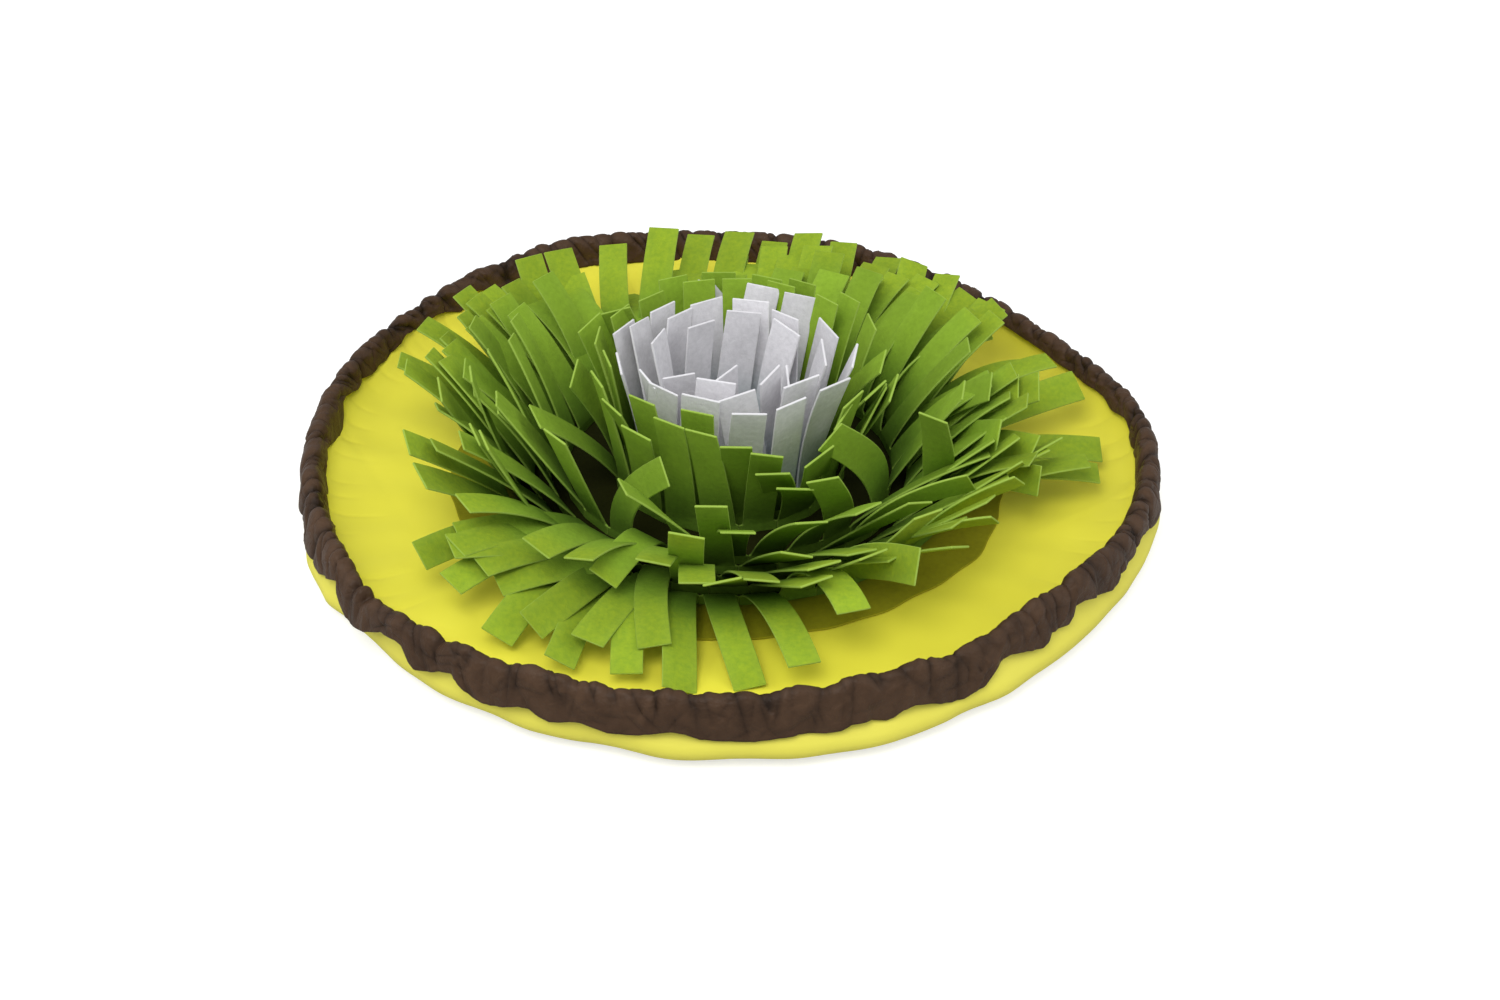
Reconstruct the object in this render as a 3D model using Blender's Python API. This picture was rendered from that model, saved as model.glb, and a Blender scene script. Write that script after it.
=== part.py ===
"""A snuffle bowl: a round padded cloth mat whose gathered rim stands up as a low wall.

Rings of fringed felt are sewn to a backing disc in the middle. White rings make an
upright rosette with an open cup, and green rings fan out from it towards the rim.
The bowl stands on Z = 0 with its axis on Z, and -Y is its front.
"""

import math
from random import Random

import bmesh
import bpy
from mathutils import Vector

MM = 0.001

# The pad: two round cloth covers with wadding between them.
CLOTH = 0.8 * MM
SEAT_GAP = 0.3 * MM
BELLY_RADIUS = 253 * MM
BELLY_HEIGHT = 10 * MM
FOOT_INSET = 23 * MM
FOOT_RADIUS = BELLY_RADIUS - FOOT_INSET
WALL_SEAM_INSET = 3.6 * MM
WALL_SEAM_RADIUS = BELLY_RADIUS - WALL_SEAM_INSET
WALL_SEAM_HEIGHT = 20 * MM
BASE_EDGE_INSET = 2.4 * MM
BASE_EDGE_RADIUS = WALL_SEAM_RADIUS - BASE_EDGE_INSET
COVER_EDGE_HEIGHT = 33 * MM
PAD_HEIGHT = 16 * MM
BASE_CORNER_SHARES = ((0.50, 0.06), (0.85, 0.40))
DISH_RISE_SHARES = ((0.50, 0.12), (0.82, 0.45))
RIM_STEPS = 72

# The casing: a cloth strip folded over the rim, with the elastic in its fold.
CASING_CLOTH = 0.8 * MM
CASING_EASE = 1.8 * MM
CASING_WIDTH = 13.8 * MM
CASING_RIDGE_INSET = 7.7 * MM
CASING_OUTER_FOOT_RADIUS = WALL_SEAM_RADIUS + CASING_EASE
CASING_OUTER_FOOT_HEIGHT = WALL_SEAM_HEIGHT
CASING_INNER_FOOT_RADIUS = CASING_OUTER_FOOT_RADIUS - CASING_WIDTH
CASING_INNER_FOOT_HEIGHT = 27 * MM
CASING_RIDGE_RADIUS = CASING_OUTER_FOOT_RADIUS - CASING_RIDGE_INSET
CASING_RIDGE_HEIGHT = 44 * MM
CASING_LEG_SHARES = ((0.35, 0.12), (0.70, 0.30), (0.92, 0.62))
ELASTIC_DIAMETER = 4 * MM
ELASTIC_SIDES = 6

# The dish that the top cover makes, up to its edge in the casing.
BACKING_RADIUS = 166 * MM
DISH_MARGIN = 4 * MM
DISH_FLAT_RADIUS = BACKING_RADIUS + DISH_MARGIN
DISH_EASE = 0.6 * MM
DISH_BEND_RADIUS = CASING_INNER_FOOT_RADIUS + DISH_EASE
DISH_BEND_HEIGHT = 25 * MM
TOP_EDGE_SLANT = 3 * MM
TOP_EDGE_RADIUS = DISH_BEND_RADIUS + TOP_EDGE_SLANT

# The wadding stops short of the covers' joined edges.
WADDING_GAP = 1 * MM
WADDING_EDGE_HEIGHT = 22 * MM
WADDING_EDGE_INSET = 10 * MM
WADDING_EDGE_RADIUS = BELLY_RADIUS - WADDING_EDGE_INSET

# The elastic pulls unevenly, so the rim swells out of its circle and dips inside it, and
# its crown rises and falls: (degrees round the rim, share of the swell).
RIM_SWELL = 8 * MM
CROWN_SWELL = 3 * MM
RIM_SWELL_SHARES = (
    (-140, 0.9), (-98, 0.4), (-50, -0.4), (0, 0.5), (33, -1.0), (69, 0.0), (116, 1.0), (180, 0.4),
)
CROWN_SWELL_SHARES = ((-140, -0.2), (-50, 0.4), (0, 0.0), (30, -0.9), (69, 0.1), (116, 1.0), (170, 0.0))

# The gathers that the elastic pulls into the rim: (waves round the rim, size, phase).
RIM_WAVES = ((10, 0.9 * MM, 2.1), (18, 0.6 * MM, 4.0))
FOLD_WAVES = ((8, 1.0 * MM, 1.0), (14, 1.0 * MM, 3.3), (22, 0.8 * MM, 0.2))
PUCKER_WAVE_SHARES = ((24, 0.28, 0.3), (18, 0.18, 2.2))
GATHER_START_RADIUS = 185 * MM
PUCKER_START_INSET = 10 * MM
PUCKER_START_RADIUS = DISH_BEND_RADIUS - PUCKER_START_INSET
GATHER_FULL_RADIUS = DISH_BEND_RADIUS
FOLD_LOW = 4 * MM
FOLD_HIGH = 18 * MM

# The backing disc that the felt is sewn to.
BACKING_THICKNESS = 1 * MM
BACKING_SIDES = 28

# The felt bands, each cut into strips from its free edge.
FELT = 1.6 * MM
WHITE_PITCH = 25 * MM
GREEN_PITCH = 22 * MM
SLIT = 1.2 * MM
UNCUT_HEIGHT = 6 * MM
STRIP_LENGTH = 82 * MM
LENGTH_SPREAD = 3 * MM
SIDE_SHIFT_SHARE = 0.42

# Lean from the vertical at a strip's root and tip, on the right, back, left and front.
SIDES_DEG = (0, 90, 180, 270)
INNER_WHITE_LEANS = ((4, 10),) * 4
MIDDLE_WHITE_LEANS = ((7, 14),) * 4
OUTER_WHITE_LEANS = ((9, 17),) * 4
INNER_COLLAR_LEANS = ((9, 15),) * 4
OUTER_COLLAR_LEANS = ((8, 14),) * 4
FIRST_SKIRT_LEANS = ((18, 44), (12, 30), (22, 38), (26, 58))
SECOND_SKIRT_LEANS = ((23, 54), (17, 38), (27, 50), (33, 72))
THIRD_SKIRT_LEANS = ((30, 64), (23, 46), (32, 56), (41, 84))
FOURTH_SKIRT_LEANS = ((38, 74), (29, 54), (37, 60), (51, 98))
OUTERMOST_SKIRT_LEANS = ((48, 86), (36, 60), (42, 66), (62, 116))

# On the right of the front the skirts' strips are pushed over sideways. There they lean
# out less, and the power says how soon their chance drift fades where the push begins.
SWEPT_START_DEG = -100
SWEPT_FULL_DEG = -70
SWEPT_FADE_DEG = -50
SWEPT_END_DEG = 60
SWEEP_DEG = 38
SWEPT_LEAN_SHARE = 0.7
SWEPT_CALM_POWER = 6

# Each ring: name, base radius, leans, and the spreads of lean and twist.
WHITE_RINGS = (
    ("white_fringe_inner", 30 * MM, INNER_WHITE_LEANS, 1.5, 5),
    ("white_fringe_middle", 41 * MM, MIDDLE_WHITE_LEANS, 1.5, 6),
    ("white_fringe_outer", 51 * MM, OUTER_WHITE_LEANS, 1.2, 6),
)
COLLAR_RINGS = (
    ("green_collar_inner", 60 * MM, INNER_COLLAR_LEANS, 1.2, 6),
    ("green_collar_outer", 68 * MM, OUTER_COLLAR_LEANS, 1.2, 6),
)
INNER_SKIRT_RINGS = (("green_skirt_first", 98 * MM, FIRST_SKIRT_LEANS, 2.0, 8),)
OUTER_SKIRT_RINGS = (
    ("green_skirt_second", 107.5 * MM, SECOND_SKIRT_LEANS, 2.0, 8),
    ("green_skirt_third", 117 * MM, THIRD_SKIRT_LEANS, 2.0, 8),
    ("green_skirt_fourth", 126.5 * MM, FOURTH_SKIRT_LEANS, 2.0, 8),
    ("green_skirt_outermost", 136 * MM, OUTERMOST_SKIRT_LEANS, 2.0, 8),
)
UPRIGHT_STEPS = 2
BENT_STEPS = 3

# The welding distance only joins points that a revolve makes twice.
WELD = 0.001 * MM

YELLOW_CLOTH = (0.80, 0.72, 0.07)
BROWN_CLOTH = (0.060, 0.036, 0.026)
BACKING_BROWN = (0.16, 0.12, 0.02)
GREEN_FELT = (0.19, 0.42, 0.03)
WHITE_FELT = (0.78, 0.76, 0.80)
WADDING_WHITE = (0.85, 0.85, 0.83)
ELASTIC_BLACK = (0.03, 0.03, 0.03)


def clear_scene():
    for item in list(bpy.data.objects):
        bpy.data.objects.remove(item)


def make_material(name, colour, roughness):
    material = bpy.data.materials.new(name)
    material.use_nodes = True
    shader = material.node_tree.nodes["Principled BSDF"]
    shader.inputs["Base Color"].default_value = (*colour, 1.0)
    shader.inputs["Roughness"].default_value = roughness
    shader.inputs["Metallic"].default_value = 0.0
    material.diffuse_color = (*colour, 1.0)
    return material


def add_object(name, bm, colour, roughness, smooth=True):
    """Turns the bmesh into one named object with a material of its own."""
    bmesh.ops.recalc_face_normals(bm, faces=bm.faces[:])
    mesh = bpy.data.meshes.new(name)
    bm.to_mesh(mesh)
    bm.free()
    if smooth:
        mesh.shade_smooth()
        mesh.set_sharp_from_angle(angle=math.radians(50))
    mesh.materials.append(make_material(name, colour, roughness))
    made = bpy.data.objects.new(name, mesh)
    bpy.context.scene.collection.objects.link(made)
    return made


def smooth_step(low, high, value):
    share = min(1.0, max(0.0, (value - low) / (high - low)))
    return share * share * (3 - 2 * share)


def wave_sum(waves, angle):
    return sum(size * math.cos(count * angle + phase) for count, size, phase in waves)


def swell_share(shares, angle):
    """The share at a place round the rim, eased from one row of the table to the next."""
    turn_start = shares[0][0]
    degrees = (math.degrees(angle) - turn_start) % 360 + turn_start
    rows = [*shares, (turn_start + 360, shares[0][1])]
    for (start, here), (end, there) in zip(rows, rows[1:]):
        if degrees <= end:
            return here + (there - here) * smooth_step(start, end, degrees)


def gathered(point):
    """Where a point of the smooth revolved pad goes once the elastic gathers its rim.

    The whole space moves together, so pieces that lie in each other stay clear.
    """
    radius = math.hypot(point.x, point.y)
    angle = math.atan2(point.y, point.x)
    share = smooth_step(GATHER_START_RADIUS, GATHER_FULL_RADIUS, radius)
    if share == 0:
        return point.copy()
    high = smooth_step(FOLD_LOW, FOLD_HIGH, point.z)
    pucker = high * smooth_step(PUCKER_START_RADIUS, GATHER_FULL_RADIUS, radius)
    from_ridge = (radius - CASING_RIDGE_RADIUS) * (1 + pucker * wave_sum(PUCKER_WAVE_SHARES, angle))
    out = RIM_SWELL * swell_share(RIM_SWELL_SHARES, angle) + wave_sum(RIM_WAVES, angle)
    up = CROWN_SWELL * swell_share(CROWN_SWELL_SHARES, angle) + wave_sum(FOLD_WAVES, angle)
    new_radius = CASING_RIDGE_RADIUS + from_ridge + share * out
    new_height = point.z + share * high * up
    return Vector((new_radius * math.cos(angle), new_radius * math.sin(angle), new_height))


def thickened(line, thickness):
    """The closed outline of a sheet: the line itself, then the line moved to its left."""
    moved = []
    for i, (x, z) in enumerate(line):
        before = line[max(i - 1, 0)]
        after = line[min(i + 1, len(line) - 1)]
        along = Vector((after[0] - before[0], after[1] - before[1])).normalized()
        moved.append((max(x - along.y * thickness, 0.0), z + along.x * thickness))
    return [*line, *reversed(moved)]


def revolved(outline, steps, closed):
    """The outline turned about Z into one closed surface."""
    bm = bmesh.new()
    points = [bm.verts.new((radius, 0, height)) for radius, height in outline]
    edges = [bm.edges.new(pair) for pair in zip(points, points[1:])]
    if closed:
        edges.append(bm.edges.new((points[-1], points[0])))
    bmesh.ops.spin(
        bm,
        geom=points + edges,
        cent=(0, 0, 0),
        axis=(0, 0, 1),
        angle=math.tau,
        steps=steps,
        use_merge=False,
        use_duplicate=False,
    )
    bmesh.ops.remove_doubles(bm, verts=bm.verts[:], dist=WELD)
    return bm


def gather(bm):
    for vertex in bm.verts:
        vertex.co = gathered(vertex.co)
    return bm


def base_line():
    """The outside of the base cover, from the axis under the pad and up the wall."""
    corner = [
        (FOOT_RADIUS + (BELLY_RADIUS - FOOT_RADIUS) * out, BELLY_HEIGHT * up)
        for out, up in BASE_CORNER_SHARES
    ]
    return [
        (0.0, 0.0),
        (GATHER_START_RADIUS, 0.0),
        (FOOT_RADIUS, 0.0),
        *corner,
        (BELLY_RADIUS, BELLY_HEIGHT),
        (WALL_SEAM_RADIUS, WALL_SEAM_HEIGHT),
        (BASE_EDGE_RADIUS, COVER_EDGE_HEIGHT),
    ]


def dish_line():
    """The underside of the top cover, from the axis out to its edge in the casing."""
    low = PAD_HEIGHT - CLOTH
    rise = [
        (
            DISH_FLAT_RADIUS + (DISH_BEND_RADIUS - DISH_FLAT_RADIUS) * out,
            low + (DISH_BEND_HEIGHT - low) * up,
        )
        for out, up in DISH_RISE_SHARES
    ]
    return [
        (0.0, low),
        (DISH_FLAT_RADIUS, low),
        *rise,
        (DISH_BEND_RADIUS, DISH_BEND_HEIGHT),
        (TOP_EDGE_RADIUS, COVER_EDGE_HEIGHT),
    ]


def make_base_cover():
    bm = gather(revolved(thickened(base_line(), CLOTH), RIM_STEPS, closed=False))
    return add_object("base_cover", bm, YELLOW_CLOTH, 0.55)


def make_top_cover():
    bm = gather(revolved(thickened(dish_line(), CLOTH), RIM_STEPS, closed=False))
    return add_object("top_cover", bm, YELLOW_CLOTH, 0.55)


def make_wadding():
    """The soft filling, which keeps clear of both covers by the seat gap."""
    floor = CLOTH + SEAT_GAP
    ceiling = [(radius, height - WADDING_GAP) for radius, height in dish_line()[:-2]]
    outline = [
        (0.0, floor),
        (GATHER_START_RADIUS, floor),
        (FOOT_RADIUS - CLOTH, floor + SEAT_GAP),
        (WADDING_EDGE_RADIUS, BELLY_HEIGHT),
        (WADDING_EDGE_RADIUS - CLOTH, WADDING_EDGE_HEIGHT),
        *reversed(ceiling),
    ]
    bm = gather(revolved(outline, RIM_STEPS, closed=False))
    return add_object("wadding", bm, WADDING_WHITE, 0.9)


def casing_line():
    """The inside of the casing's cloth, from its outer foot over the ridge to its inner foot."""
    outer_foot = (CASING_OUTER_FOOT_RADIUS, CASING_OUTER_FOOT_HEIGHT)
    inner_foot = (CASING_INNER_FOOT_RADIUS, CASING_INNER_FOOT_HEIGHT)
    ridge = (CASING_RIDGE_RADIUS, CASING_RIDGE_HEIGHT - CASING_CLOTH)

    def leg(foot):
        return [
            (
                foot[0] + (ridge[0] - foot[0]) * across,
                foot[1] + (ridge[1] - foot[1]) * up,
            )
            for up, across in CASING_LEG_SHARES
        ]

    return [inner_foot, *leg(inner_foot), ridge, *reversed(leg(outer_foot)), outer_foot]


def make_rim_casing():
    outline = thickened(casing_line(), CASING_CLOTH)
    bm = gather(revolved(outline, RIM_STEPS, closed=True))
    return add_object("rim_casing", bm, BROWN_CLOTH, 0.45)


def make_rim_elastic():
    radius = ELASTIC_DIAMETER / 2
    height = CASING_RIDGE_HEIGHT - CASING_CLOTH - ELASTIC_DIAMETER
    outline = [
        (
            CASING_RIDGE_RADIUS + radius * math.cos(math.tau * i / ELASTIC_SIDES),
            height + radius * math.sin(math.tau * i / ELASTIC_SIDES),
        )
        for i in range(ELASTIC_SIDES)
    ]
    bm = gather(revolved(outline, RIM_STEPS, closed=True))
    return add_object("rim_elastic", bm, ELASTIC_BLACK, 0.7)


def backing_top():
    return PAD_HEIGHT + SEAT_GAP + BACKING_THICKNESS


def make_fringe_backing():
    low = PAD_HEIGHT + SEAT_GAP
    outline = [(0.0, low), (BACKING_RADIUS, low), (BACKING_RADIUS, backing_top()), (0.0, backing_top())]
    bm = revolved(outline, BACKING_SIDES, closed=False)
    return add_object("fringe_backing", bm, BACKING_BROWN, 0.85, smooth=False)


def leans_at(side_leans, angle):
    """Lean at the root and tip, blended from the two sides that the angle lies between."""
    shares = [max(0.0, math.cos(angle - math.radians(side))) ** 2 for side in SIDES_DEG]
    return [sum(share * pair[end] for share, pair in zip(shares, side_leans)) for end in (0, 1)]


def swept_share(angle):
    """How far the push sideways has taken hold at a place round a skirt."""
    degrees = (math.degrees(angle) + 180) % 360 - 180
    start = smooth_step(SWEPT_START_DEG, SWEPT_FULL_DEG, degrees)
    return start * (1 - smooth_step(SWEPT_FADE_DEG, SWEPT_END_DEG, degrees))


def strip_sections(radius, angle, width, length, leans, sweep, side_shift, twist, steps):
    """The four corners of each section up a strip: inner and outer, left and right.

    The strip bends evenly in its radial plane from the first lean to the second, is swept
    and drifts sideways, and twists about its own length.
    """
    out = Vector((math.cos(angle), math.sin(angle), 0))
    side = Vector((-math.sin(angle), math.cos(angle), 0))
    up = Vector((0, 0, 1))
    root = backing_top() + SEAT_GAP + UNCUT_HEIGHT
    centre = out * radius + up * root
    step = length / steps
    made = []
    for k in range(1, steps + 1):
        middle = leans[0] + (leans[1] - leans[0]) * (k - 0.5) / steps
        upward = out * math.sin(middle) + up * math.cos(middle)
        centre = centre + (upward * math.cos(sweep) + side * math.sin(sweep)) * step
        lean = leans[0] + (leans[1] - leans[0]) * k / steps
        along = out * math.sin(lean) + up * math.cos(lean)
        away = along.cross(side).normalized() * -1
        turn = twist * k / steps
        across = side * math.cos(turn) + away * math.sin(turn)
        face = away * math.cos(turn) - side * math.sin(turn)
        drift = side * side_shift * (k / steps) ** 2
        corners = [
            centre + drift + across * (width / 2) * way + face * (FELT / 2) * depth
            for depth, way in ((-1, -1), (-1, 1), (1, 1), (1, -1))
        ]
        made.append(corners)
    return made


def make_fringe(ring, seed, pitch, colour, steps, sweeps=False):
    """One felt band: a short uncut wall round the ring, and the strips cut above it."""
    name, radius, side_leans, lean_spread, twist_spread = ring
    rng = Random(seed)
    bm = bmesh.new()
    count = round(math.tau * radius / pitch)
    half = math.pi / count - SLIT / 2 / radius
    low = backing_top() + SEAT_GAP
    high = low + UNCUT_HEIGHT
    stations = []
    for i in range(count):
        for way in (-1, 1):
            angle = math.tau * i / count + way * half
            stations.append(
                [
                    bm.verts.new((math.cos(angle) * r, math.sin(angle) * r, z))
                    for z in (low, high)
                    for r in (radius - FELT / 2, radius + FELT / 2)
                ]
            )
    for i, here in enumerate(stations):
        there = stations[(i + 1) % len(stations)]
        bm.faces.new((here[0], here[1], there[1], there[0]))
        bm.faces.new((here[0], there[0], there[2], here[2]))
        bm.faces.new((here[1], here[3], there[3], there[1]))
        if i % 2:
            bm.faces.new((here[2], there[2], there[3], here[3]))
            continue
        angle = math.tau * (i // 2) / count
        swept = swept_share(angle) if sweeps else 0.0
        wobble = rng.uniform(-lean_spread, lean_spread)
        leans = [
            math.radians((lean + wobble * share) * (1 - swept * (1 - SWEPT_LEAN_SHARE)))
            for lean, share in zip(leans_at(side_leans, angle), (0.5, 1.5))
        ]
        length = STRIP_LENGTH + rng.uniform(-LENGTH_SPREAD, LENGTH_SPREAD)
        reach = length * math.sin((leans[0] + leans[1]) / 2)
        room = SLIT + reach * math.tau / count
        width = 2 * radius * math.sin(half)
        rows = strip_sections(
            radius,
            angle,
            width,
            length,
            leans,
            math.radians(SWEEP_DEG) * swept,
            rng.uniform(-room, room) * SIDE_SHIFT_SHARE * (1 - swept) ** SWEPT_CALM_POWER,
            math.radians(rng.uniform(-twist_spread, twist_spread)),
            steps,
        )
        below = [here[2], there[2], there[3], here[3]]
        for row in rows:
            above = [bm.verts.new(corner) for corner in row]
            for a in range(4):
                b = (a + 1) % 4
                bm.faces.new((below[a], below[b], above[b], above[a]))
            below = above
        bm.faces.new(below)
    return add_object(name, bm, colour, 0.95, smooth=False)


def main():
    clear_scene()
    make_base_cover()
    make_wadding()
    make_top_cover()
    make_rim_elastic()
    make_rim_casing()
    make_fringe_backing()
    for seed, ring in enumerate(WHITE_RINGS):
        make_fringe(ring, seed, WHITE_PITCH, WHITE_FELT, UPRIGHT_STEPS)
    for seed, ring in enumerate(COLLAR_RINGS):
        make_fringe(ring, 10 + seed, GREEN_PITCH, GREEN_FELT, UPRIGHT_STEPS)
    for seed, ring in enumerate(INNER_SKIRT_RINGS):
        make_fringe(ring, 12 + seed, GREEN_PITCH, GREEN_FELT, UPRIGHT_STEPS, sweeps=True)
    for seed, ring in enumerate(OUTER_SKIRT_RINGS):
        make_fringe(ring, 20 + seed, GREEN_PITCH, GREEN_FELT, BENT_STEPS, sweeps=True)


main()
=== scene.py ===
# %% [markdown]
# A snuffle bowl is a soft dish for a dog's dry treats. This one is a round padded mat of
# yellow cloth whose edge stands up, because an elastic in a brown casing draws it together.
# In the middle stand rings of felt that were cut into strips, white round an open cup and
# green outside it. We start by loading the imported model, which fixes every size and place.

import math

import bpy
import numpy as np
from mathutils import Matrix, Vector


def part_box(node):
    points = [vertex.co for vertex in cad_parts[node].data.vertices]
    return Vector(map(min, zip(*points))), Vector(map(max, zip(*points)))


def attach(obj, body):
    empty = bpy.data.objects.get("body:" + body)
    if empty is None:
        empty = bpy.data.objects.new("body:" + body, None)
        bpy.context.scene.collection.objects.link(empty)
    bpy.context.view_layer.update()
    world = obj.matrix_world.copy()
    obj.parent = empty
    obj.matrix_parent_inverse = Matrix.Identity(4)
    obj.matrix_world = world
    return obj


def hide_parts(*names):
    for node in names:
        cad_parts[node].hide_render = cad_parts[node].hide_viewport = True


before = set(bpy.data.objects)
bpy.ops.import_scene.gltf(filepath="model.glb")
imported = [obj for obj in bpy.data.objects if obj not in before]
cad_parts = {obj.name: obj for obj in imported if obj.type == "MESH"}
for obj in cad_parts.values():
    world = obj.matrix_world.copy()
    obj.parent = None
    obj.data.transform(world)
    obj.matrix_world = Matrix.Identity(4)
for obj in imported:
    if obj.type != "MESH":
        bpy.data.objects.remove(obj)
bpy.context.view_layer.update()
MM = 0.001

# %% [markdown]
# The camera stands where the photographer's did: in front of the bowl and about a third of
# a right angle above it. Its lens comes from how large the rim shows, and a small shift
# puts the bowl's middle at the same place of the picture. We keep the same numbers as a
# function, because later some strips are aimed at places that were read off the photograph.

# %% Camera
PHOTO_WIDTH = 1500
PHOTO_HEIGHT = 1000
VIEW_ELEVATION = math.radians(33.45)
VIEW_DISTANCE = 1400 * MM
VIEW_AIM = Vector((0, 0, 30 * MM))
AIM_PIXEL = (729, 450)
FOCAL_PIXELS = 2337
SENSOR_WIDTH = 36.0

camera_data = bpy.data.cameras.new("camera")
camera = bpy.data.objects.new("camera", camera_data)
bpy.context.scene.collection.objects.link(camera)
bpy.context.scene.camera = camera
view_back = Vector((0, -math.cos(VIEW_ELEVATION), math.sin(VIEW_ELEVATION)))
camera.location = VIEW_AIM + view_back * VIEW_DISTANCE
camera.rotation_euler = (math.pi / 2 - VIEW_ELEVATION, 0, 0)
camera_data.sensor_width = SENSOR_WIDTH
camera_data.lens = FOCAL_PIXELS / PHOTO_WIDTH * SENSOR_WIDTH
camera_data.shift_x = (PHOTO_WIDTH / 2 - AIM_PIXEL[0]) / PHOTO_WIDTH
camera_data.shift_y = (AIM_PIXEL[1] - PHOTO_HEIGHT / 2) / PHOTO_WIDTH
camera_data.clip_start = 10 * MM
camera_data.clip_end = 20.0


def photo_pixels(points):
    """Where points of the model, an array in metres, show in the photograph."""
    x, y, z = points[..., 0], points[..., 1], points[..., 2] - VIEW_AIM.z
    depth = VIEW_DISTANCE + y * math.cos(VIEW_ELEVATION) - z * math.sin(VIEW_ELEVATION)
    rise = y * math.sin(VIEW_ELEVATION) + z * math.cos(VIEW_ELEVATION)
    across = AIM_PIXEL[0] + x * FOCAL_PIXELS / depth
    down = AIM_PIXEL[1] - rise * FOCAL_PIXELS / depth
    return np.stack([across, down], axis=-1)


def pixel_ray(pixel):
    """The direction in which the camera sees a place of the photograph."""
    lift = Vector((0, math.sin(VIEW_ELEVATION), math.cos(VIEW_ELEVATION)))
    side = Vector(((pixel[0] - AIM_PIXEL[0]) / FOCAL_PIXELS, 0, 0))
    return side + lift * (AIM_PIXEL[1] - pixel[1]) / FOCAL_PIXELS - view_back


def seen_at_radius(pixel, radius):
    """Angle and height at which the ray through a pixel first meets a circle's wall."""
    ray, start = pixel_ray(pixel), camera.location
    a = ray.x**2 + ray.y**2
    b = start.x * ray.x + start.y * ray.y
    c = start.x**2 + start.y**2 - radius**2
    point = start + ray * (-b - math.sqrt(max(b * b - a * c, 0.0))) / a
    return math.atan2(point.y, point.x), point.z


print("lens in mm:", round(camera_data.lens, 2))

# %% [markdown]
# Next come plain helpers for materials and for the light. Each finish is a Principled
# shader in its own material, and effects that several materials share are node groups. A
# small function makes a group with named inputs and outputs. Another places a node, sets
# its values, and makes a link where a value is another node's socket.

# %% Helpers for materials
def new_group(name, inputs, outputs):
    """An empty shader node group with the given sockets."""
    group = bpy.data.node_groups.new(name, "ShaderNodeTree")
    for label, kind, value in inputs:
        socket = group.interface.new_socket(label, in_out="INPUT", socket_type=kind)
        socket.default_value = value
    for label, kind in outputs:
        group.interface.new_socket(label, in_out="OUTPUT", socket_type=kind)
    group_in = group.nodes.new("NodeGroupInput")
    group_out = group.nodes.new("NodeGroupOutput")
    return group, group_in, group_out


def add_node(tree, kind, settings=None, values=None):
    """A node with its settings, its plain socket values, and links where a socket is given."""
    node = tree.nodes.new(kind)
    for key, value in (settings or {}).items():
        setattr(node, key, value)
    for key, value in (values or {}).items():
        if isinstance(value, bpy.types.NodeSocket):
            tree.links.new(value, node.inputs[key])
        else:
            node.inputs[key].default_value = value
    return node


def add_math(tree, operation, first, second=0.0, third=0.0):
    values = {0: first, 1: second, 2: third}
    return add_node(tree, "ShaderNodeMath", {"operation": operation}, values).outputs[0]


def add_mix(tree, share, first, second, blend="MIX"):
    """Mixes two colours by a share."""
    node = add_node(
        tree,
        "ShaderNodeMix",
        {"data_type": "RGBA", "blend_type": blend},
        {0: share, 6: first, 7: second},
    )
    return node.outputs[2]


def add_noise(tree, vector, scale, detail, roughness=0.5, distortion=0.0):
    values = {
        "Vector": vector,
        "Scale": scale,
        "Detail": detail,
        "Roughness": roughness,
        "Distortion": distortion,
    }
    return add_node(tree, "ShaderNodeTexNoise", None, values).outputs["Fac"]


def add_range(tree, value, from_low, from_high, to_low, to_high):
    values = {
        "Value": value,
        "From Min": from_low,
        "From Max": from_high,
        "To Min": to_low,
        "To Max": to_high,
    }
    return add_node(tree, "ShaderNodeMapRange", None, values).outputs["Result"]


def new_material(name, roughness, specular=0.5):
    """A material with its Principled shader, ready for colour and bump."""
    material = bpy.data.materials.new(name)
    material.use_nodes = True
    shader = material.node_tree.nodes["Principled BSDF"]
    shader.inputs["Roughness"].default_value = roughness
    shader.inputs["Specular IOR Level"].default_value = specular
    return material, material.node_tree, shader


def add_bump(tree, height, distance, strength=1.0):
    values = {"Height": height, "Distance": distance, "Strength": strength}
    return add_node(tree, "ShaderNodeBump", None, values).outputs["Normal"]


# %% [markdown]
# The light is that of a pale studio: one very large soft lamp above the camera, a weaker
# one on each side, and a white world. The floor is white too. For the camera it glows a
# little, so it reads as clean white paper and still takes the bowl's soft shadow.

# %% Light and floor
scene = bpy.context.scene
scene.view_settings.view_transform = "Standard"

WORLD_LEVEL = 0.68
WORLD_COLOUR = (0.95, 0.97, 1.0, 1.0)
WHITE = (1.0, 1.0, 1.0, 1.0)

world = bpy.data.worlds.new("studio")
scene.world = world
world.use_nodes = True
sky = world.node_tree
sky.nodes.clear()
sky_light = add_node(sky, "ShaderNodeBackground", None, {"Color": WORLD_COLOUR, "Strength": WORLD_LEVEL})
sky_white = add_node(sky, "ShaderNodeBackground", None, {"Color": WHITE, "Strength": 1.0})
sky_path = add_node(sky, "ShaderNodeLightPath")
sky_parts = {0: sky_path.outputs["Is Camera Ray"], 1: sky_light.outputs[0], 2: sky_white.outputs[0]}
sky_mix = add_node(sky, "ShaderNodeMixShader", None, sky_parts)
add_node(sky, "ShaderNodeOutputWorld", None, {"Surface": sky_mix.outputs[0]})


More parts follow.
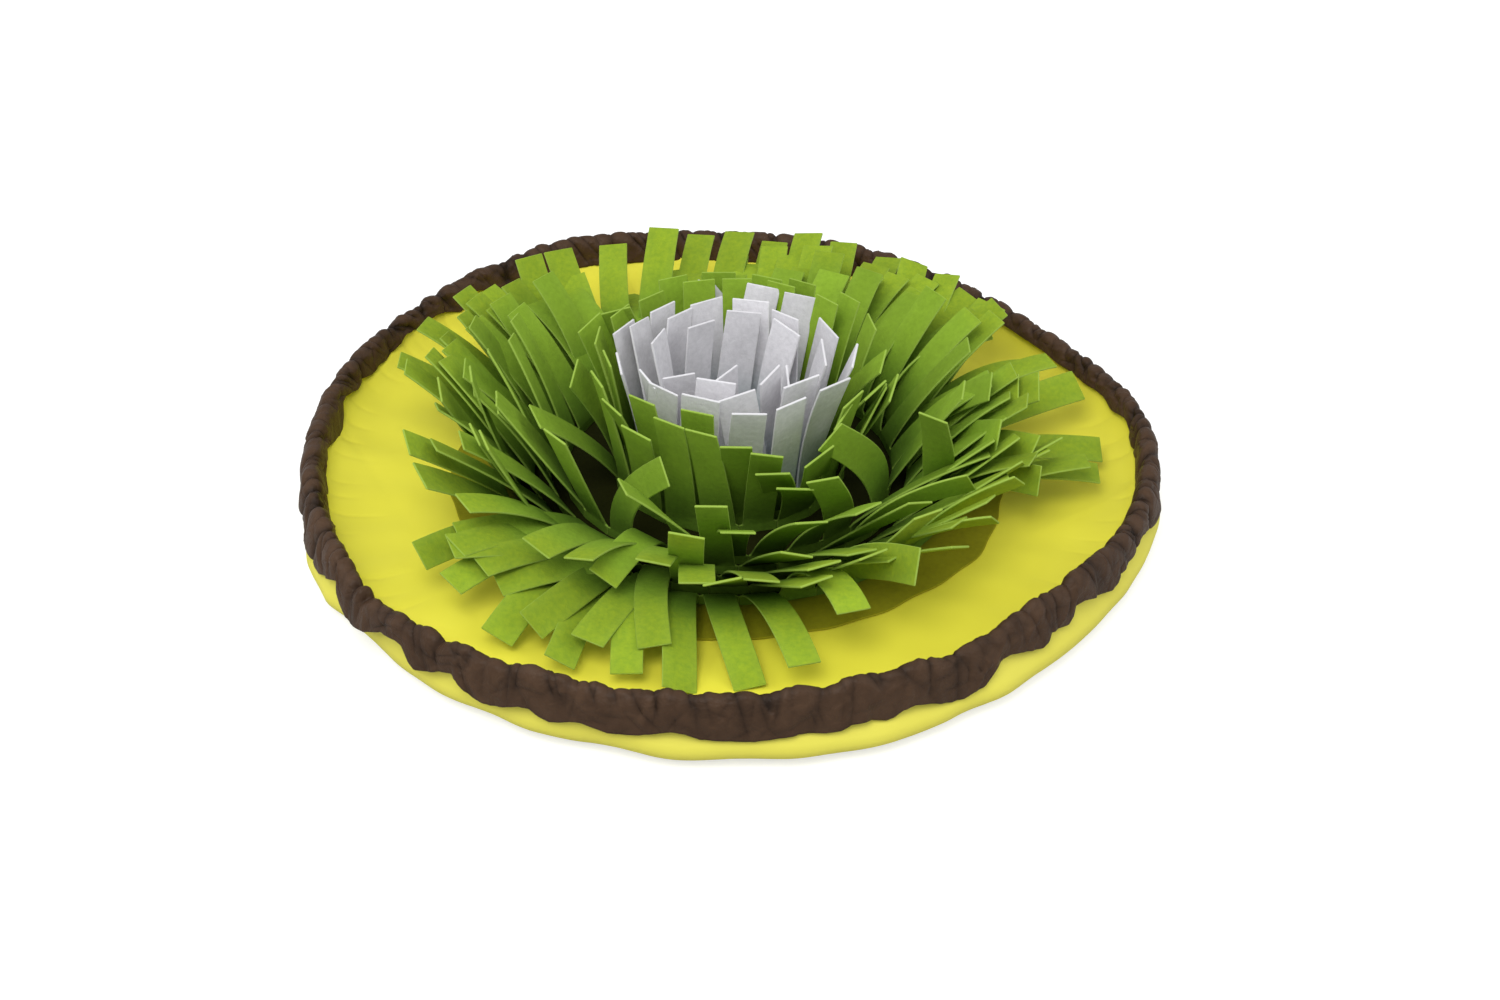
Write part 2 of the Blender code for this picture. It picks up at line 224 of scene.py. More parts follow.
def add_lamp(name, place, width, watts):
    """A square soft lamp at a place, turned to look at the bowl."""
    data = bpy.data.lights.new(name, "AREA")
    data.shape = "SQUARE"
    data.size = width
    data.energy = watts
    lamp = bpy.data.objects.new(name, data)
    lamp.location = place
    lamp.rotation_euler = (LAMP_AIM - Vector(place)).to_track_quat("-Z", "Y").to_euler()
    scene.collection.objects.link(lamp)


LAMP_AIM = Vector((0.0, 0.0, 0.03))
add_lamp("key_lamp", (-0.35, -1.15, 1.75), 1.1, 22)
add_lamp("right_lamp", (1.5, -0.5, 1.1), 1.0, 6)
add_lamp("left_lamp", (-1.6, -0.2, 1.2), 1.0, 6)

FLOOR_HALF = 6.0
FLOOR_GREY = 0.55
FLOOR_GLOW = 0.62
floor_mesh = bpy.data.meshes.new("floor")
floor_corners = [(x * FLOOR_HALF, y * FLOOR_HALF, 0) for x, y in ((-1, -1), (1, -1), (1, 1), (-1, 1))]
floor_mesh.from_pydata(floor_corners, [], [(0, 1, 2, 3)])
floor = bpy.data.objects.new("floor", floor_mesh)
scene.collection.objects.link(floor)
floor_material, floor_tree, floor_shader = new_material("white_floor", 0.9, 0.0)
floor_shader.inputs["Base Color"].default_value = (FLOOR_GREY, FLOOR_GREY, FLOOR_GREY, 1.0)
floor_shader.inputs["Emission Color"].default_value = WHITE
floor_path = add_node(floor_tree, "ShaderNodeLightPath")
floor_glow = add_math(floor_tree, "MULTIPLY", floor_path.outputs["Is Camera Ray"], FLOOR_GLOW)
floor_tree.links.new(floor_glow, floor_shader.inputs["Emission Strength"])
floor_mesh.materials.append(floor_material)

# %% [markdown]
# The bowl is round, so most of its cloth is easiest to describe as a profile that runs
# round the middle. One helper draws a smooth line through a few profile points. Two more
# make values that vary round the bowl: one from measured places, and one from a
# few waves with chosen sizes.

# %% Helpers for curves
def smooth_step(low, high, value):
    share = np.clip((value - low) / (high - low), 0.0, 1.0)
    return share * share * (3 - 2 * share)


def signed_angle(angle):
    return (angle + math.pi) % math.tau - math.pi


def run_along(points):
    """How far along a line of points each of them lies."""
    return np.concatenate([[0], np.cumsum(np.linalg.norm(np.diff(points, axis=0), axis=1))])


def blur_round(values, reach):
    """Values round the bowl, each averaged with as many on both sides as the reach says."""
    window = np.ones(2 * reach + 1) / (2 * reach + 1)
    return np.convolve(np.pad(values, reach, mode="wrap"), window, mode="valid")


def smooth_path(points, count):
    """A smooth line through the points, with evenly spaced places along it."""
    points = np.array(points, dtype=float)
    padded = np.vstack([2 * points[0] - points[1], points, 2 * points[-1] - points[-2]])
    fine = []
    for a, b, c, d in zip(padded, padded[1:], padded[2:], padded[3:]):
        for t in np.linspace(0, 1, 24, endpoint=False):
            bend = (2 * a - 5 * b + 4 * c - d) * t * t + (3 * b - a - 3 * c + d) * t**3
            fine.append(b + 0.5 * ((c - a) * t + bend))
    fine.append(points[-1])
    fine = np.array(fine)
    run = run_along(fine)
    places = np.linspace(0, run[-1], count)
    return np.stack([np.interp(places, run, fine[:, k]) for k in range(fine.shape[1])], axis=1)


def measured_round(table, blur_degrees):
    """A smooth closed curve round the bowl through measured rows of (degrees, value)."""
    degrees = np.arange(0, 360, 0.5)
    rows = sorted((place % 360, value) for place, value in table)
    raw = np.interp(degrees, [r[0] for r in rows], [r[1] for r in rows], period=360)
    away = np.minimum(degrees, 360 - degrees)
    kernel = np.exp(-0.5 * (away / blur_degrees) ** 2)
    kernel /= kernel.sum()
    smooth = np.real(np.fft.ifft(np.fft.fft(raw) * np.fft.fft(kernel)))
    return lambda angle: np.interp(np.degrees(angle) % 360, degrees, smooth, period=360)


def waves_round(seed, fewest, most, size):
    """A random smooth curve round the bowl, made of waves that close on themselves."""
    rng = np.random.default_rng(seed)
    counts = np.arange(fewest, most + 1)
    phases = rng.uniform(0, math.tau, len(counts))
    sizes = rng.uniform(0.4, 1.0, len(counts))
    sizes *= size * math.sqrt(2) / np.linalg.norm(sizes)
    return lambda angle: sum(s * np.cos(c * angle + p) for s, c, p in zip(sizes, counts, phases))


corner_line = smooth_path(((0, 0), (1, 1), (2, 0)), 50)
print("a smooth line over a corner, straight sides 2.83:", round(float(run_along(corner_line)[-1]), 2))

# %% [markdown]
# A piece of cloth is a grid of points, ring by ring, joined by four-sided faces. A mesh
# made from arrays keeps every ring where the measured lines put it, which a simulation of
# falling cloth wouldn't. The flat place of each point is kept as a UV map, so a weave
# follows the cloth. Each finished piece rides on the bowl's one body and takes the place
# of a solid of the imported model.

# %% Helpers for pieces
def add_piece(name, mesh, material, replaced, sharp_degrees=None):
    """Puts a finished mesh in the scene as a piece of the bowl."""
    mesh.shade_smooth()
    if sharp_degrees:
        mesh.set_sharp_from_angle(angle=math.radians(sharp_degrees))
    mesh.materials.append(material)
    piece = bpy.data.objects.new(name, mesh)
    scene.collection.objects.link(piece)
    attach(piece, "root")
    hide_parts(*replaced)
    print(f"{name}: {len(mesh.vertices)} points, {len(mesh.polygons)} faces")
    return piece


def rings_mesh(name, rings, lay, pole=None, cap=False):
    """A mesh from an array of rings, each a closed loop of points round the bowl.

    lay holds the place of each point on the flat cloth, in metres, and becomes a UV map.
    A pole closes the first ring to a point, and a cap closes the last one with a flat face.
    """
    rows, count, _ = rings.shape
    points = rings.reshape(-1, 3)
    flat = lay.reshape(-1, 2)
    here = np.arange(rows - 1)[:, None] * count + np.arange(count)[None, :]
    there = np.arange(rows - 1)[:, None] * count + (np.arange(count)[None, :] + 1) % count
    faces = np.stack([here, there, there + count, here + count], axis=-1).reshape(-1, 4).tolist()
    if pole is not None:
        points = np.vstack([points, pole])
        flat = np.vstack([flat, [0.0, 0.0]])
        last = len(points) - 1
        faces += [[last, (i + 1) % count, i] for i in range(count)]
    if cap:
        faces.append(list(range((rows - 1) * count, rows * count)))
    mesh = bpy.data.meshes.new(name)
    mesh.from_pydata(points.tolist(), [], faces)
    corners = np.empty(len(mesh.loops), dtype=np.int32)
    mesh.loops.foreach_get("vertex_index", corners)
    mesh.uv_layers.new(name="cloth").data.foreach_set("uv", flat[corners].ravel())
    mesh.update()
    return mesh


def store_values(mesh, values):
    """Keeps named values on the mesh's points, for its material to read."""
    for label, value in values.items():
        layer = mesh.attributes.new(label, "FLOAT", "POINT")
        layer.data.foreach_set("value", np.ascontiguousarray(value, dtype=np.float32).ravel())
    mesh.update()


# %% [markdown]
# The elastic doesn't pull evenly, so the rim of the real bowl isn't a true circle. These
# two tables were read off the photograph: how far the rim lies outside or inside the
# circle at each place, and how much its crown stands above or below its usual height.
# Both hold degrees round the bowl and millimetres. The front of the bowl is at -90
# degrees and its right side at 0.

# %% The rim's real outline
RIM_OUT = (
    (-180, 2), (-150, 4), (-140, 7), (-120, 6), (-98, 4), (-80, 3), (-65, 1), (-50, -4),
    (-38, -3), (-28, 0), (-10, 4), (5, 5), (15, -2), (26, -8), (33, -10), (45, -8),
    (55, -5), (69, 0), (90, 2), (105, 4), (116, 10), (125, 8), (135, 8), (145, 4), (158, 4),
)
CROWN_UP = (
    (-180, 0), (-140, -1), (-98, 0), (-60, 0), (-50, 2), (-35, 2), (-20, 0), (0, 0),
    (15, -1), (30, -4), (45, -3), (60, -1), (90, 1), (108, 4), (116, 5), (125, 3), (140, 1),
)
RIM_BLUR_DEGREES = 3.0
PUSH_START = 185 * MM
PUSH_FULL = 235 * MM
LIFT_FULL = 25 * MM

rim_out = measured_round(RIM_OUT, RIM_BLUR_DEGREES)
crown_up = measured_round(CROWN_UP, RIM_BLUR_DEGREES)


def place_round(radius, angle, height):
    """Points at a radius, angle and height, moved as the uneven elastic moves the rim."""
    share = smooth_step(PUSH_START, PUSH_FULL, radius)
    out = radius + share * rim_out(angle) * MM
    up = height + share * smooth_step(0.0, LIFT_FULL, height) * crown_up(angle) * MM
    return np.stack([out * np.cos(angle), out * np.sin(angle), up], axis=-1)


casing_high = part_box("rim_casing")[1]
CROWN_HEIGHT = 44 * MM
CROWN_RADIUS = 243.5 * MM
print("casing of the packed model reaches", round(casing_high.z / MM, 1), "mm high")

# %% [markdown]
# Felt has no weave. It is a mat of fibres pressed together, so its colour is mottled at
# two or three millimetres and fuzzy below one. Where a strip was cut, loose fibres catch
# the light, so the edge gets a paler colour, a painted highlight. The group takes the
# colours of the face, of the cut edge's painted highlight and of the painted light that
# comes through thin felt over pale cloth, with a mask for each. It paints shade on what
# lies deep between the strips, down to the painted shade level, and gives back a colour
# and a height for the bump.

# %% Node group for felt
# scale, detail and roughness of each noise
MOTTLE_NOISE = (330.0, 3.0, 0.62)
FIBRE_NOISE = (1500.0, 2.0, 0.6)
CLOUD_NOISE = (60.0, 2.0, 0.5)
TONE_RANGE = (0.87, 1.13)
SHADE_RED_RANGE = (0.84, 1.0)

felt_group, felt_in, felt_out = new_group(
    "felt surface",
    [
        ("Colour", "NodeSocketColor", (0.2, 0.4, 0.03, 1.0)),
        ("Edge Highlight Colour", "NodeSocketColor", (0.4, 0.6, 0.07, 1.0)),
        ("Light Colour", "NodeSocketColor", (0.3, 0.5, 0.02, 1.0)),
        ("Edge", "NodeSocketFloat", 0.0),
        ("Light", "NodeSocketFloat", 0.0),
        ("Tone", "NodeSocketFloat", 0.5),
        ("Painted Light Share", "NodeSocketFloat", 1.0),
        ("Painted Shade Level", "NodeSocketFloat", 0.5),
    ],
    [("Colour", "NodeSocketColor"), ("Height", "NodeSocketFloat")],
)
felt_place = add_node(felt_group, "ShaderNodeTexCoord").outputs["Object"]
felt_asked = felt_in.outputs
felt_mottle = add_noise(felt_group, felt_place, *MOTTLE_NOISE)
felt_fibre = add_noise(felt_group, felt_place, *FIBRE_NOISE)
felt_cloud = add_noise(felt_group, felt_place, *CLOUD_NOISE)
# painted light: where this mask is high, thin felt over the pale dish takes the lighter, yellower colour
felt_light_through = add_range(felt_group, felt_mottle, 0.3, 0.7, 0.35, 1.0)
felt_light_through = add_math(felt_group, "MULTIPLY", felt_light_through, felt_asked["Light"])
felt_base = add_mix(felt_group, felt_light_through, felt_asked["Colour"], felt_asked["Light Colour"])
felt_spread = add_range(felt_group, felt_mottle, 0.25, 0.75, 0.90, 1.10)
felt_wide = add_range(felt_group, felt_cloud, 0.25, 0.75, 0.94, 1.06)
felt_tone = add_range(felt_group, felt_asked["Tone"], 0.0, 1.0, *TONE_RANGE)
# painted shade: where this mask is low, the felt's colour is darkened towards the darkest shade level and
# loses a little red
felt_shade_level = felt_asked["Painted Shade Level"]
felt_gain = add_math(felt_group, "SUBTRACT", 1.0, felt_shade_level)
felt_painted_light = add_math(felt_group, "MULTIPLY_ADD", felt_asked["Painted Light Share"], felt_gain, felt_shade_level)
felt_tone_and_shade = add_math(felt_group, "MULTIPLY", felt_spread, felt_wide)
for felt_share in (felt_tone, felt_painted_light):
    felt_tone_and_shade = add_math(felt_group, "MULTIPLY", felt_tone_and_shade, felt_share)
felt_shade_red = add_range(felt_group, felt_asked["Painted Light Share"], 0.0, 1.0, *SHADE_RED_RANGE)
felt_shade_red = add_math(felt_group, "MULTIPLY", felt_tone_and_shade, felt_shade_red)
felt_grey = add_node(
    felt_group, "ShaderNodeCombineColor", None, {0: felt_shade_red, 1: felt_tone_and_shade, 2: felt_tone_and_shade}
).outputs[0]
felt_face = add_mix(felt_group, 1.0, felt_base, felt_grey, "MULTIPLY")
# painted highlight: the cut edge's paler colour, weaker where painted shade falls
felt_fuzz = add_range(felt_group, felt_fibre, 0.3, 0.7, 0.6, 1.0)
felt_edge_highlight = add_math(felt_group, "MULTIPLY", felt_asked["Edge"], felt_fuzz)
felt_edge_highlight = add_math(felt_group, "MULTIPLY", felt_edge_highlight, felt_painted_light)
felt_colour = add_mix(felt_group, felt_edge_highlight, felt_face, felt_asked["Edge Highlight Colour"])
felt_height = add_math(felt_group, "MULTIPLY_ADD", felt_fibre, 0.5, felt_mottle)
felt_group.links.new(felt_colour, felt_out.inputs["Colour"])
felt_group.links.new(felt_height, felt_out.inputs["Height"])
print("felt group nodes:", len(felt_group.nodes))

# %% [markdown]
# Each felt is a rough material round that group, and the masks come from values that the
# strips keep on their points. Green felt gets a yellower painted light where it is thin and
# lies over the pale dish, for the light that comes through it from the cloth below. White
# felt isn't quite neutral, and leans a very little to violet.

# %% Felt materials
FELT_ROUGHNESS = 0.95
FELT_SPECULAR = 0.12
FELT_FUZZ = 0.35 * MM
FELT_MASKS = (
    ("Edge", "cut_edge"), ("Light", "light_through"), ("Tone", "tone"), ("Painted Light Share", "painted_light_share"),
)


def make_felt(name, face, edge, light, painted_shade_level):
    """A felt material. The strips' own attributes say where it is cut, where it gets painted light through
    thin felt, and where painted shade darkens it.
    """
    material, tree, shader = new_material(name, FELT_ROUGHNESS, FELT_SPECULAR)
    values = {"Colour": (*face, 1.0), "Edge Highlight Colour": (*edge, 1.0), "Light Colour": (*light, 1.0)}
    values["Painted Shade Level"] = painted_shade_level
    for label, attribute in FELT_MASKS:
        node = add_node(tree, "ShaderNodeAttribute", {"attribute_name": attribute})
        values[label] = node.outputs["Fac"]
    felt = add_node(tree, "ShaderNodeGroup", {"node_tree": felt_group}, values)
    bump = add_bump(tree, felt.outputs["Height"], FELT_FUZZ, 0.8)
    tree.links.new(felt.outputs["Colour"], shader.inputs["Base Color"])
    tree.links.new(bump, shader.inputs["Normal"])
    return material


# face, cut edge with its painted highlight, painted light through thin felt, then the level of the darkest
# painted shade
green_felt = make_felt(
    "green_felt", (0.218, 0.352, 0.028), (0.33, 0.47, 0.085), (0.268, 0.368, 0.022), 0.46
)
white_felt = make_felt(
    "white_felt", (0.71, 0.695, 0.715), (0.72, 0.71, 0.72), (0.72, 0.71, 0.72), 0.62
)
print("felts:", green_felt.name, white_felt.name)

# %% [markdown]
# The yellow and brown cloths are thin woven polyester. Their threads are finer than a
# millimetre, so the weave is a faint grid of bumps that follows the flat cloth through
# the UV map. What shows from further off are soft creases and a slight change of colour.
# A cloth that stores creases on its points gets painted shade in their depth and painted light on the puffs.

# %% Node group for woven cloth
weave_group, weave_in, weave_out = new_group(
    "woven cloth",
    [
        ("Colour", "NodeSocketColor", (0.8, 0.7, 0.08, 1.0)),
        ("Dark Colour", "NodeSocketColor", (0.7, 0.6, 0.05, 1.0)),
        ("Thread", "NodeSocketFloat", 0.7 * MM),
        ("Wrinkle Scale", "NodeSocketFloat", 30.0),
        ("Wrinkle", "NodeSocketFloat", 0.5),
        ("Crease Shade", "NodeSocketFloat", 0.0),
    ],
    [
        ("Colour", "NodeSocketColor"),
        ("Weave Height", "NodeSocketFloat"),
        ("Wrinkle Height", "NodeSocketFloat"),
    ],
)
weave_flat = add_node(weave_group, "ShaderNodeUVMap", {"uv_map": "cloth"}).outputs["UV"]
weave_axes = add_node(weave_group, "ShaderNodeSeparateXYZ", None, {0: weave_flat})
weave_turns = add_math(weave_group, "DIVIDE", math.tau, weave_in.outputs["Thread"])
weave_threads = []
for weave_axis in weave_axes.outputs[:2]:
    weave_angle = add_math(weave_group, "MULTIPLY", weave_axis, weave_turns)
    weave_threads.append(add_math(weave_group, "SINE", weave_angle))
weave_height = add_math(weave_group, "MULTIPLY", *weave_threads)
weave_place = add_node(weave_group, "ShaderNodeTexCoord").outputs["Object"]
weave_fold = add_noise(weave_group, weave_place, weave_in.outputs["Wrinkle Scale"], 3.0, 0.55, 0.4)
weave_cloud = add_noise(weave_group, weave_place, 14.0, 2.0, 0.5)
weave_small = add_range(weave_group, weave_fold, 0.3, 0.7, 0.0, 1.0)
weave_shade = add_math(weave_group, "MULTIPLY", weave_small, weave_in.outputs["Wrinkle"])
weave_broad = add_range(weave_group, weave_cloud, 0.3, 0.7, 0.0, 1.0)
weave_shade = add_math(weave_group, "MULTIPLY_ADD", weave_broad, 0.3, weave_shade)
weave_colour = add_mix(weave_group, weave_shade, weave_in.outputs["Colour"], weave_in.outputs["Dark Colour"])
# painted shade in the creases and painted light on the puffs, from the stored crease values
weave_crease_shade = add_range(weave_group, weave_in.outputs["Crease Shade"], -1.0, 1.0, 1.6, 0.4)
weave_grey = add_node(
    weave_group, "ShaderNodeCombineColor", None, {0: weave_crease_shade, 1: weave_crease_shade, 2: weave_crease_shade}
).outputs[0]
weave_colour = add_mix(weave_group, 1.0, weave_colour, weave_grey, "MULTIPLY")
weave_group.links.new(weave_colour, weave_out.inputs["Colour"])
weave_group.links.new(weave_height, weave_out.inputs["Weave Height"])
weave_group.links.new(weave_fold, weave_out.inputs["Wrinkle Height"])
print("cloth group nodes:", len(weave_group.nodes))

# %% [markdown]
# Three finishes use the group. The wall is the same yellow cloth as the dish, but its
# own colours are a shaded copy of the dish's: a little duller for painted shade, and a
# little paler for the painted glare of the white floor. The brown casing is smoother and
# has closer, deeper wrinkles. Two bumps sit one on the other: the wrinkles first, then
# the threads.

# %% Cloth materials
def make_cloth(name, light, dark, roughness, specular, thread, wrinkle_scale, wrinkle, wrinkle_depth):
    """A woven cloth material with its weave and its small wrinkles as bumps."""
    material, tree, shader = new_material(name, roughness, specular)
    # painted shade and light from the crease values that a cloth keeps on its points
    crease_shade_mask = add_node(tree, "ShaderNodeAttribute", {"attribute_name": "crease"})
    values = {
        "Colour": (*light, 1.0),
        "Dark Colour": (*dark, 1.0),
        "Thread": thread,
        "Wrinkle Scale": wrinkle_scale,
        "Wrinkle": wrinkle,
        "Crease Shade": crease_shade_mask.outputs["Fac"],
    }
    cloth = add_node(tree, "ShaderNodeGroup", {"node_tree": weave_group}, values)
    folds = add_bump(tree, cloth.outputs["Wrinkle Height"], wrinkle_depth, 0.7)
    bumps = {"Height": cloth.outputs["Weave Height"], "Distance": THREAD_DEPTH, "Strength": 0.5}
    threads = add_node(tree, "ShaderNodeBump", None, {**bumps, "Normal": folds})
    tree.links.new(cloth.outputs["Colour"], shader.inputs["Base Color"])
    tree.links.new(threads.outputs["Normal"], shader.inputs["Normal"])
    return material


# roughness, specular level, thread width, then the wrinkles' scale, share and depth
YELLOW_WEAVE = (0.6, 0.25, 0.8 * MM, 22.0, 0.4, 0.6 * MM)
BROWN_WEAVE = (0.45, 0.14, 0.6 * MM, 110.0, 0.8, 3.0 * MM)
THREAD_DEPTH = 0.04 * MM
yellow_cloth = make_cloth("yellow_cloth", (0.87, 0.802, 0.063), (0.82, 0.746, 0.051), *YELLOW_WEAVE)
# painted shade and glare: the dish's yellow, made duller and paler for the wall
wall_shaded_cloth = make_cloth("wall_shaded_cloth", (0.78, 0.722, 0.096), (0.735, 0.67, 0.083), *YELLOW_WEAVE)
brown_cloth = make_cloth("brown_cloth", (0.052, 0.0285, 0.0155), (0.036, 0.019, 0.01), *BROWN_WEAVE)
print("cloths:", yellow_cloth.name, wall_shaded_cloth.name, brown_cloth.name)

# %% [markdown]
# Some lines of the bowl were followed in the photograph: first where its wall ends
# on the floor, and later the edges of the brown casing. To use one, we find how far from
# the bowl's middle it lies at each angle in the picture, and how far beyond it a point of
# the model shows. Each line counts only on the side of the bowl where it can be seen.

# %% Helpers for lines read off the photograph
SEEN_EASE = math.radians(7)


def share_between(angle, limits):
    """One between two angles and nothing outside them, with a soft change."""
    low, high = limits
    turned = signed_angle(angle)
    return smooth_step(low, low + SEEN_EASE, turned) * (1 - smooth_step(high - SEEN_EASE, high, turned))


def line_reach(line, turn):
    """How far from the bowl's middle a line of pixels lies, at each angle in the picture."""
    away = np.array(line) - np.array(AIM_PIXEL)
    line_turn = np.arctan2(-away[:, 1], away[:, 0])
    return np.interp(turn, line_turn, np.hypot(away[:, 0], away[:, 1]), period=math.tau)


def beyond_line(line, points):
    """How many pixels farther from the bowl's middle than the line points show."""
    away = photo_pixels(points) - np.array(AIM_PIXEL)
    turn = np.arctan2(-away[..., 1], away[..., 0])
    return np.hypot(away[..., 0], away[..., 1]) - line_reach(line, turn)


rim_pixel = photo_pixels(np.array([CROWN_RADIUS, 0.0, CROWN_HEIGHT]))
print("the right end of the rim shows at", rim_pixel.round().tolist())

# %% [markdown]
# The outer cover is one round cloth that runs under the pad, bulges at the foot and goes
# up the wall into the casing. On the real bowl it is sewn flat and the elastic makes it
# cup. Here its profile is drawn once and turned round the middle, then moved with the
# uneven rim, with a few broad swells so the wall isn't as even as a turned bowl. Where the
# wall ends on the floor was followed in the photograph. Which height of the wall
# makes that outline changes round the bowl, so we try how far the foot stands out or in
# and keep what puts the outermost of its points on the line.

# %% Outer shell
ROUND_STEPS = 1080
SHELL_PROFILE = np.array(
    (
        (3, 0.0), (60, 0.0), (120, 0.0), (185, 0.0), (222, 0.1), (238, 1.2), (247, 4.6),
        (251.6, 9.5), (251.8, 14), (250.4, 18), (247.6, 22), (246, 27), (244.8, 33),
    )
) * MM
SHELL_ROWS = 64

WALL_LINE = (
    (329, 590), (337, 601), (347, 615), (357, 627), (368, 635), (383, 650), (398, 665), (420, 680),
    (440, 694), (467, 705), (487, 711), (505, 720), (523, 729), (550, 735), (567, 740), (605, 744),
    (633, 751), (661, 759), (694, 761), (719, 759), (744, 758), (770, 759), (797, 759), (825, 754),
    (847, 752), (875, 747), (900, 740), (932, 728), (966, 711), (1007, 695), (1038, 673),
    (1073, 648), (1104, 618), (1123, 594), (1137, 566),
)
FOOT_TRIES = np.linspace(-12, 9, 43) * MM
FOOT_SEEN = (math.radians(-152), math.radians(-26))
WALL_RADII = (236 * MM, 250 * MM)
WALL_HEIGHTS = (0.3 * MM, 8 * MM)
FOOT_RADII = (218 * MM, 238 * MM)
FOOT_HEIGHTS = (12 * MM, 30 * MM)
SWELL_CALMED = 0.7

angles = np.arange(ROUND_STEPS) * math.tau / ROUND_STEPS
swell = waves_round(3, 5, 16, 0.9 * MM)
ripple = waves_round(4, 18, 46, 0.35 * MM)


def foot_push(angle, radius, height, low):
    """How far the foot of the wall stands out from its usual circle."""
    beyond = []
    for push in FOOT_TRIES:
        points = place_round(radius + push * low, angle[None, :], height)
        beyond.append(beyond_line(WALL_LINE, points).max(axis=0))
    push = FOOT_TRIES[np.argmin(np.abs(beyond), axis=0)]
    return blur_round(push, 6) * share_between(angle, FOOT_SEEN)


def flat_lay(profile, angle):
    """Where a turned cloth's points lie on the flat round cut, as a UV map in metres."""
    run = (run_along(profile) + profile[0, 0])[:, None]
    return np.stack([run * np.cos(angle)[None, :], run * np.sin(angle)[None, :]], axis=-1)


def make_outer_shell():
    profile = smooth_path(SHELL_PROFILE, SHELL_ROWS)
    radius = profile[:, :1] * np.ones((1, ROUND_STEPS))
    height = profile[:, 1:] * np.ones((1, ROUND_STEPS))
    wall = smooth_step(*WALL_RADII, radius) * smooth_step(*WALL_HEIGHTS, height)
    calm = 1 - SWELL_CALMED * share_between(angles, FOOT_SEEN)
    bulge = (swell(angles) * calm + ripple(angles))[None, :] * wall
    low = smooth_step(*FOOT_RADII, radius) * (1 - smooth_step(*FOOT_HEIGHTS, height))
    bulge = bulge + foot_push(angles, radius + bulge, height, low)[None, :] * low
    points = place_round(radius + bulge, angles[None, :], np.maximum(height, 0.0))
    lay = flat_lay(profile, angles)
    mesh = rings_mesh("outer_shell", points[:, ::-1], lay[:, ::-1], pole=[[0.0, 0.0, 0.0]])
    return add_piece("outer_shell", mesh, wall_shaded_cloth, ["base_cover"])


outer_shell = make_outer_shell()

# %% [markdown]
# The brown casing is a strip of cloth folded over the rim, with the elastic inside its
# fold. Three lines of it were followed in the photograph: the hem and the crown as
# they show on the near side, and the inner edge as it shows on the left and the right.
# Each point of the hem or the crown lies on the ray from the camera through that pixel,
# and we take the place where the ray meets the uneven rim.

# %% Lines of the casing
HEM_LINE = (
    (322, 573), (330, 578), (336, 581), (338, 592), (342, 603), (348, 616), (356, 625), (366, 631),
    (380, 633), (388, 636), (396, 640), (402, 645), (406, 652), (411, 661), (417, 668), (428, 671),
    (440, 672), (450, 674), (458, 680), (466, 689), (475, 696), (484, 701), (492, 704), (505, 705),
    (520, 705), (530, 708), (540, 715), (550, 720), (560, 721), (575, 721), (585, 723), (597, 727),
    (608, 731), (622, 733), (640, 734), (655, 732), (672, 731), (685, 733), (700, 738), (715, 739),
    (735, 740), (755, 740), (775, 737), (792, 734), (808, 732), (825, 731), (840, 728), (852, 722),
    (866, 719), (885, 719), (893, 716), (903, 709), (915, 704), (930, 702), (950, 701), (962, 697),
    (972, 690), (982, 684), (989, 676), (995, 668), (1003, 660), (1012, 655), (1025, 651),
    (1040, 646), (1046, 640), (1050, 632), (1060, 628), (1068, 624), (1073, 616), (1077, 606),
    (1085, 600), (1100, 595), (1110, 590), (1116, 583), (1121, 573), (1128, 565), (1134, 556),
    (1139, 546), (1143, 536), (1148, 529), (1153, 523),
)
CROWN_LINE = (
    (346, 559), (351, 570), (359, 581), (361, 588), (367, 588), (371, 601), (378, 602), (389, 610),
    (402, 615), (415, 624), (429, 628), (441, 636), (444, 644), (455, 643), (470, 647), (484, 657),
    (500, 662), (506, 666), (517, 664), (534, 666), (550, 672), (567, 677), (579, 683), (596, 683),
    (608, 689), (628, 690), (651, 692), (668, 689), (686, 694), (698, 696), (706, 694), (719, 696),
    (731, 692), (748, 693), (762, 695), (778, 691), (797, 686), (816, 688), (835, 685), (850, 677),
    (869, 673), (885, 674), (900, 667), (919, 660), (943, 659), (963, 648), (977, 638), (990, 635),
    (1002, 624), (1010, 615), (1021, 612), (1031, 601), (1041, 596), (1055, 590), (1063, 585),
    (1067, 577), (1080, 564), (1090, 558), (1107, 545),
)
INNER_LINE = (
    (1040, 344), (1049, 351), (1059, 361), (1069, 367), (1087, 382), (1102, 391), (1110, 398),
    (1115, 410), (1125, 415), (1133, 420), (1131, 430), (1135, 445), (1140, 460), (1140, 468),
    (1139, 483), (1136, 499), (1130, 510), (1126, 520), (1115, 535),
    (346, 559), (337, 550), (333, 540), (336, 525), (333, 506), (326, 494), (326, 490), (323, 483),
    (324, 475), (321, 465), (324, 458), (321, 450), (336, 438), (340, 430), (340, 411), (337, 402),
    (344, 394), (355, 389), (360, 378), (371, 373), (374, 365), (383, 360), (388, 354), (396, 344),
    (402, 334), (417, 328), (430, 316), (435, 313), (447, 311), (460, 312),
)


def seen_on_rim(pixel, radius):
    """Angle and height at which the ray through a pixel meets the uneven rim."""
    angle, height = seen_at_radius(pixel, radius)
    for _ in range(4):
        angle, height = seen_at_radius(pixel, radius + float(rim_out(angle)) * MM)
    return angle, height


def line_round(rows, angle):
    """The value at each angle of a line given as (angle, value) pairs."""
    rows = sorted(rows)
    return np.interp(signed_angle(angle), [row[0] for row in rows], [row[1] for row in rows])


